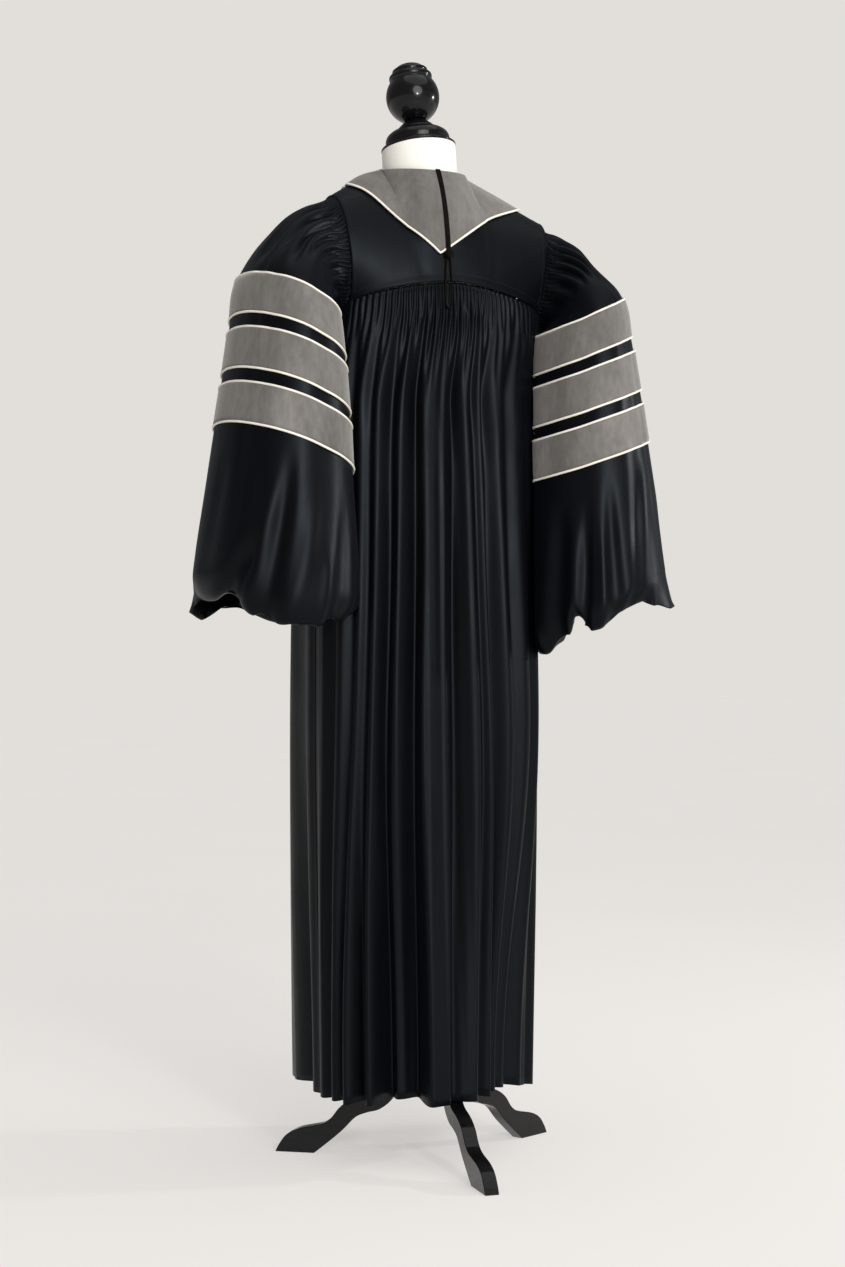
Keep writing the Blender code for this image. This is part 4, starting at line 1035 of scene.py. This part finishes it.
def make_cord_loop():
    at = spread(0.0, LOOP_ROUTE[-1].at, 53)
    x, below_button = read(LOOP_ROUTE, at)
    x, z = BUTTON_X + x, BUTTON_Z - BUTTON_R - below_button
    points = [tuple(p) for p in xyz(x, back_line_y(z) + LAID_GAP + LOOP_R, z).tolist()]
    made = tube("cord_loop_braid", points, LOOP_R, BRAID, resolution=4)
    belongs(made, "black_braid", "cord_loop")


make_cord_loop()

# ---------------------------------------------------------------- gown


def make_back_panel():
    middle = spread(-BACK_END, BACK_END, 6 * FLUTES + 1)
    left = spread(BACK_END, pi / 2 - SIDE_SEAM_TURN, 23)[1:]
    turns = np.concatenate([-left[::-1], middle, left])
    near = spread(0.0, 0.075, 36)
    rest = 0.075 + (1 - 0.075) * spread(0.0, 1.0, 96)[1:] ** 1.15
    downs = np.concatenate([near, rest])
    grid = settled_gown(body_point(turns[None, :], downs[:, None], SEAM_GAP))
    made = smooth_grid("back_panel_cloth", grid, SATIN, CLOTH_WALL)
    belongs(made, "black_satin_polyester", "back_panel")


def make_back_yoke():
    shares = np.concatenate([-spread(0.0, 1.0, 49)[:0:-1], spread(0.0, 1.0, 49)])
    downs = spread(0.0, 1 - SEAM_GAP / (NECK_Z - YOKE_SEAM_Z), 56)
    across, down = np.meshgrid(shares, downs)
    grid = yoke_point(across, down)
    drag = np.exp(-((across - 0.62 + 0.25 * down) / 0.07) ** 2) * ease(down / 0.5)
    drag = drag + np.exp(-((across + 0.66 - 0.22 * down) / 0.08) ** 2) * ease(down / 0.5)
    pull = np.exp(-((down - 0.78 - 0.1 * across) / 0.05) ** 2) * np.exp(-(across / 0.45) ** 2)
    edge = ease((1 - np.abs(across)) / 0.1) * ease((1 - down) / 0.08)
    normal = outward(grid, (0.0, BODY_AXIS_Y), False)
    rounded = 0.0012 * ease((down - 0.955) / 0.03)
    grid = settled_gown(grid + normal * (rounded - 0.0011 * (drag + 0.6 * pull) * edge)[..., None])
    made = smooth_grid("back_yoke_cloth", grid, SATIN, CLOTH_WALL)
    belongs(made, "black_satin_polyester", "back_yoke")
    seam = stitches("yoke_seam_stitches", grid[-4, 2:-2], normal[-4, 2:-2], THREAD)
    belongs(seam, "black_satin_polyester")
    for side, column in (("right", 2), ("left", -3)):
        line, out = grid[2:-2, column], normal[2:-2, column]
        belongs(stitches(f"armhole_stitches_{side}", line, out, THREAD), "black_satin_polyester")


V_ACROSS = float(solve(lambda g: -top_edge(g, True)[..., 0], -V_SHOULDER_X, NECK_SHARE, 1.0))
V_SHOULDER_Z = float(top_edge(V_ACROSS, True)[2])


def down_at_height(signed, height):
    """How far down the yoke a height given for each x lies, at each signed share across."""

    def above(down):
        point = yoke_point(signed, down)
        return point[..., 2] - height(point[..., 0])

    return solve(above, np.zeros_like(signed))


def v_edge_down(signed):
    """How far down the collar reaches: to the two straight sides of its V."""

    def edge(x):
        past = x - COLLAR_POINT_X
        end = np.where(past > 0, V_SHOULDER_X, -V_SHOULDER_X) - COLLAR_POINT_X
        share = past / end
        return V_POINT_Z + (V_SHOULDER_Z - V_POINT_Z) * share + 0.006 * np.sin(pi * share)

    return np.maximum(down_at_height(signed, edge), V_TIP_DOWN)


def across_of_point():
    """The share across the yoke where the collar's point lies."""

    def x(signed):
        down = down_at_height(signed, lambda _: V_POINT_Z)
        return -shoulder_point(signed, down, True)[..., 0]

    return float(solve(x, np.array([-COLLAR_POINT_X]), 0.0, V_ACROSS)[0])


def piping_along(node, line, other, normal, closed=False):
    """Ivory piping along a velvet edge, on the side away from another of its lines."""
    edge = beside(line, other, closed, PIPING_OUT) - normal * PIPING_SUNK
    return belongs(
        tube(node + "_ivory", edge, PIPING_R, IVORY, closed=closed), "ivory_piping", node
    )


def make_collar():
    tip = across_of_point()
    signed = np.concatenate([spread(-V_ACROSS, tip, 48)[:-1], spread(tip, V_ACROSS, 40)])[None, :]
    shares = spread(0.0, 1.0, 30)[:, None]
    across = signed / V_ACROSS
    grid = yoke_point(signed, v_edge_down(signed) * shares)
    normal = outward(grid, (0.0, BODY_AXIS_Y), False)
    soft = 0.0010 * np.sin(9 * across + 3 * shares) * np.sin(pi * shares)
    grid = settled_gown(grid + normal * (COLLAR_OUT + soft)[..., None])
    made = smooth_grid("collar_back_velvet", grid, GREY, VELVET_WALL)
    belongs(made, "grey_velvet", "collar_back")
    piping = piping_along("piping_collar", grid[-1], grid[-5], normal[-1])


def band_edge_across(down):
    edge_x = V_SHOULDER_X + (BAND_CHEST_X - V_SHOULDER_X) * ease(down / 0.9)
    return solve(lambda g: -shoulder_point(g, down, False)[..., 0], -edge_x)


def plain_front_x(turn, down):
    top = body_top(turn)
    return body_outline(turn, top + (HEM_Z - top) * down)[..., 0]


def band_edge_turn(down):
    edge_x = np.full_like(down, BAND_CHEST_X)
    return solve(lambda t: -plain_front_x(t, down), -edge_x, pi, FRONT_END)


def front_grids():
    """The left front: its part above the chest line and the part below, in columns."""
    shares = np.concatenate([spread(0, 1, BAND_COLUMNS), 1 + spread(0, 1, 19)[1:]])[None, :]
    down = spread(0.0, 1.0, 40)[:, None]
    edge = band_edge_across(down)
    across = np.where(shares <= 1, edge * shares, edge + (1 - edge) * (shares - 1))
    upper = shoulder_point(across, down, False)
    down = spread(0.0, 1.0, 110)[:, None]
    edge = band_edge_turn(down)
    turn = np.where(
        shares <= 1, pi + (edge - pi) * shares, edge + (FRONT_END - edge) * (shares - 1)
    )
    under_arm = spread(FRONT_END, pi / 2 + SIDE_SEAM_TURN, 9)[1:]
    turn = np.concatenate([turn, np.broadcast_to(under_arm, (len(down), len(under_arm)))], axis=1)
    lower = body_point(turn, down)
    for grid in (upper, lower):
        grid[..., 0] = np.maximum(grid[..., 0], FRONT_OPENING)
    return upper, lower


def make_front(side, upper, lower):
    """One front from the shoulder seam to the hem, and the velvet band along its edge."""
    body_axis = (0.0, BODY_AXIS_Y)
    main = settled_gown(mirrored(np.concatenate([upper[:-1], lower[:, :upper.shape[1]]]), side))
    beside_arm = settled_gown(mirrored(lower[:, upper.shape[1] - 1:], side))
    cloth = smooth_grid(f"front_panel_{side}_cloth", main, SATIN)
    wing = smooth_grid(f"front_wing_{side}", beside_arm, SATIN)
    joined([cloth, wing])
    thicken(cloth, CLOTH_WALL)
    belongs(cloth, "black_satin_polyester", f"front_panel_{side}")
    grid = main[:, :BAND_COLUMNS]
    normal = outward(grid, body_axis, False)
    grid = grid + normal * VELVET_OUT
    band = smooth_grid(f"front_band_{side}_velvet", grid, GREY, VELVET_WALL)
    belongs(band, "grey_velvet", f"front_band_{side}")
    piping = piping_along(f"piping_front_{side}", grid[:, -1], grid[:, -3], normal[:, -1])


def joined(pieces):
    """Several grids as one mesh, with their shared points merged."""
    first = pieces[0]
    shape = bmesh.new()
    for piece in pieces:
        shape.from_mesh(piece.data)
    bmesh.ops.remove_doubles(shape, verts=shape.verts, dist=2e-5)
    shape.to_mesh(first.data)
    shape.free()
    first.data.shade_smooth()
    for piece in pieces[1:]:
        bpy.data.objects.remove(piece, do_unlink=True)


def sleeve_turns():
    behind = spread(-BEHIND_HALF_DEG, BEHIND_HALF_DEG, BEHIND_PLEATS * 6 + 1)
    ahead = spread(-AHEAD_HALF_DEG, AHEAD_HALF_DEG, AHEAD_PLEATS * 5 + 1)[1:-1]
    return np.concatenate([np.radians(90 + behind), np.radians(-90 + ahead) + 2 * pi])


def make_sleeve(side):
    turns = sleeve_turns()
    rows = np.concatenate([
        spread(0.0, 1.1, 20), spread(1.1, 3.0, 21)[1:], spread(3.0, 8.0, 15)[1:],
        spread(8.0, ROLL_FROM_ROW, 22)[1:], spread(ROLL_FROM_ROW, LAST_ROW, 28)[1:],
    ])
    grid = mirrored(sleeve_wall(turns[None, :], rows[:, None], side), side)
    grid = settled_gown(grid, 1 - ease(rows[:, None] / 2.2))
    axis = SLEEVE_AXIS if side == "left" else (-SLEEVE_AXIS[0], SLEEVE_AXIS[1])
    made = smooth_grid(f"sleeve_{side}_cloth", grid, SATIN, CLOTH_WALL, axis, closed=True)
    belongs(made, "black_satin_polyester", f"sleeve_{side}")
    for number, (upper, lower) in enumerate(BAR_ROWS, 1):
        make_bar(side, number, upper, lower, axis)


def make_bar(side, number, upper, lower, axis):
    """A velvet bar round the sleeve with ivory piping along both its edges."""
    turns = spread(0.0, 2 * pi, 145)[:-1]
    rows = spread(upper, lower, 13)
    grid = mirrored(sleeve_wall(turns[None, :], rows[:, None], side), side)
    normal = outward(grid, axis, True)
    grid = grid + normal * VELVET_OUT
    name = f"sleeve_bar_{side}_{number}"
    made = smooth_grid(name + "_velvet", grid, GREY, VELVET_WALL, axis, closed=True)
    belongs(made, "grey_velvet", name)
    for edge, row, other in (("top", 0, 2), ("bottom", -1, -3)):
        node = f"sleeve_piping_{side}_{number}_{edge}"
        piping_along(node, grid[row], grid[other], normal[row], closed=True)


def make_hood_cord():
    """A flat braid, with its herringbone raised a little, from the neck to the button."""
    last = float(down_at_height(np.array([0.0]), lambda _: BUTTON_Z + 0.003)[0])
    downs = spread(0.0, last, 150)
    line = shoulder_point(0.0, downs, True)
    line[:, 0] = BUTTON_X * ease(downs / last)
    along = np.gradient(line, axis=0)
    reach = length_along(line)
    across = np.array([1.0, 0.0, 0.0])
    out = np.cross(along, across)
    out = out / np.linalg.norm(out, axis=1, keepdims=True)
    if out[:, 1].sum() < 0:
        out = -out
    grid = []
    for turn in spread(0.0, 2 * pi, 41)[:-1]:
        x = HOOD_CORD_WIDTH / 2 * np.sign(cos(turn)) * abs(cos(turn)) ** 0.6
        thick = HOOD_CORD_HALF_THICK * np.sign(sin(turn)) * abs(sin(turn)) ** 0.6
        chevron = np.abs(np.sin((reach + abs(x) * 0.9) / CHEVRON_PITCH * pi)) * CHEVRON_RISE
        lift = HOOD_CORD_OUT + thick + (chevron if thick > 0 else 0)
        grid.append(line + across * x + out * np.asarray(lift).reshape(-1, 1))
    grid = np.stack(grid, axis=1)
    made = smooth_grid("hood_cord_braid", grid, BRAID, axis=(0.0, 0.0), closed=True)
    cap_ends(made, grid.shape)
    belongs(made, "black_braid", "hood_cord")


def cap_ends(piece, shape):
    """Closes the two open ends of a tube made by smooth_grid."""
    rows, columns = shape[:2]
    solid = bmesh.new()
    solid.from_mesh(piece.data)
    solid.verts.ensure_lookup_table()
    solid.faces.new([solid.verts[i] for i in range(columns)])
    solid.faces.new([solid.verts[(rows - 1) * columns + i] for i in range(columns)][::-1])
    bmesh.ops.recalc_face_normals(solid, faces=solid.faces)
    solid.to_mesh(piece.data)
    solid.free()


def make_button():
    y = float(back_line_y(BUTTON_Z)) + LAID_GAP + VELVET + 0.0030
    profile = eased_profile(BUTTON_PROFILE, 0.0006)
    place = (BUTTON_X, y, BUTTON_Z)
    made = turned("hood_button_covered", profile, place, (radians(-76), 0.0, 0.0), BRAID, 48)
    belongs(made, "black_braid", "hood_button")


make_back_panel()
make_back_yoke()
make_collar()
make_hood_cord()
make_button()
FRONT_UPPER, FRONT_LOWER = front_grids()
for hand in ("left", "right"):
    make_front(hand, FRONT_UPPER, FRONT_LOWER)
    make_sleeve(hand)

# ---------------------------------------------------------------- dress form and stand


def make_torso():
    turns = spread(0.0, 2 * pi, 73)[:-1]
    heights = spread(TORSO[0].z, TORSO[-1].z, 90)[::-1]
    turn, z = np.meshgrid(turns, heights)
    half_width, half_depth, centre_x, centre_y = read(TORSO, z)
    x, y = half_width * np.sin(turn), half_depth * np.cos(turn)
    tilt = ease((z - NECK_TILT_FROM_Z) / (TORSO[-1].z - NECK_TILT_FROM_Z))
    lean = tilt * (tan(NECK_LEAN[0]) * y - tan(NECK_LEAN[1]) * x)
    grid = xyz(x + centre_x, y + centre_y, z + lean)
    made = smooth_grid("form_torso_jersey", grid, JERSEY, axis=(0.0, BODY_AXIS_Y), closed=True)
    cap_ends(made, grid.shape)
    made.data.set_sharp_from_angle(angle=radians(50))
    belongs(made, "cream_jersey", "form_torso")


def make_neck_cap():
    tilt = (*NECK_LEAN, 0.0)
    cap = turned("neck_cap_wood", eased_profile(CAP_PROFILE, 0.0015), CAP_BASE, tilt, WOOD)
    belongs(cap, "gloss_black_wood", "neck_cap")
    around = spread(radians(40), radians(-65), 40)
    ball = [(BALL_R * cos(a), BALL_UP + BALL_R * sin(a)) for a in around]
    profile = eased_profile(FINIAL_TOP, 0.0012) + ball + [(0.0, ball[-1][1])]
    top = turned("finial_wood", profile, CAP_BASE, tilt, WOOD)
    belongs(top, "gloss_black_wood", "finial")


def smooth_line(points, steps=6):
    """More points along a curve through these."""
    fine = spread(0, len(points) - 1, (len(points) - 1) * steps + 1)
    return list(zip(*read([(i, *point) for i, point in enumerate(points)], fine)))


def make_leg(number):
    """A curved leg cut from plank, its long edges rounded."""
    outline = smooth_line(LEG_UPPER) + smooth_line(LEG_LOWER)
    shape = bmesh.new()
    corners = [shape.verts.new((out, -LEG_THICK / 2, up)) for out, up in outline]
    side = shape.faces.new(corners)
    grown = bmesh.ops.extrude_face_region(shape, geom=[side])
    moved = [v for v in grown["geom"] if isinstance(v, bmesh.types.BMVert)]
    bmesh.ops.translate(shape, verts=moved, vec=(0.0, LEG_THICK, 0.0))
    bmesh.ops.recalc_face_normals(shape, faces=shape.faces)
    mesh = bpy.data.meshes.new(f"leg_{number}_wood")
    shape.to_mesh(mesh)
    shape.free()
    mesh.shade_smooth()
    mesh.set_sharp_from_angle(angle=radians(35))
    leg = finished(f"leg_{number}_wood", mesh, WOOD)
    leg.location = (*POLE_AT, 0.0)
    leg.rotation_euler.z = TRIPOD_TURN + (number - 1) * 2 * pi / 3
    edges = leg.modifiers.new("Rounded", "BEVEL")
    edges.width = 0.0022
    edges.segments = 3
    edges.limit_method = "ANGLE"
    edges.angle_limit = radians(60)
    edges.harden_normals = True
    belongs(leg, "gloss_black_wood", f"leg_{number}")


make_torso()
make_neck_cap()
for count in (1, 2, 3):
    make_leg(count)
for name in ("pole", "base_hub"):
    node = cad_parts[name]
    node.data.materials.clear()
    node.data.materials.append(WOOD)

# ---------------------------------------------------------------- floor and light


def make_floor():
    mesh = bpy.data.meshes.new("floor")
    corners = [(-1, -1), (1, -1), (1, 1), (-1, 1)]
    mesh.from_pydata([(60.0 * x, 60.0 * y, 0) for x, y in corners], [], [(0, 1, 2, 3)])
    finished("floor", mesh, floor_finish())


def make_sun(name, azimuth, height, strength, angle):
    data = bpy.data.lights.new(name, "SUN")
    data.energy = strength
    data.angle = radians(angle)
    data.color = (1.0, 0.985, 0.96)
    a, h = radians(azimuth), radians(height)
    toward = Vector((cos(h) * sin(a), cos(h) * cos(a), sin(h)))
    placed(name, data).rotation_euler = toward.to_track_quat("Z", "Y").to_euler()


def make_softbox(name, place, size, power):
    data = bpy.data.lights.new(name, "AREA")
    data.shape = "DISK"
    data.size = size
    data.energy = power
    made = placed(name, data)
    made.location = place
    aim = Vector((0.0, 0.0, 1.0)) - Vector(place)
    made.rotation_euler = (-aim).to_track_quat("Z", "Y").to_euler()
    made.visible_camera = False


def make_world():
    """Pale to the eye all round; the light it gives is dimmer, as in a studio."""
    world = bpy.data.worlds.new("studio")
    world.use_nodes = True
    bpy.context.scene.world = world
    tree = world.node_tree
    seen = tree.nodes["Background"]
    seen.inputs["Color"].default_value = (0.760, 0.736, 0.700, 1.0)
    lit = tree.nodes.new("ShaderNodeBackground")
    lit.inputs["Color"].default_value = (0.95, 0.97, 1.0, 1.0)
    lit.inputs["Strength"].default_value = 0.22
    mix = tree.nodes.new("ShaderNodeMixShader")
    rays = tree.nodes.new("ShaderNodeLightPath")
    tree.links.new(rays.outputs["Is Camera Ray"], mix.inputs["Fac"])
    tree.links.new(lit.outputs[0], mix.inputs[1])
    tree.links.new(seen.outputs[0], mix.inputs[2])
    tree.links.new(mix.outputs[0], tree.nodes["World Output"].inputs["Surface"])


make_floor()
make_world()
make_sun("key", azimuth=0, height=17, strength=1.75, angle=38)
make_sun("top", azimuth=-20, height=76, strength=0.95, angle=70)
make_softbox("softbox_near", (0.10, 3.5, 1.75), 0.30, 34)
make_softbox("softbox_right", (-3.3, 0.7, 1.75), 0.30, 38)
bpy.context.scene.view_settings.view_transform = "Standard"
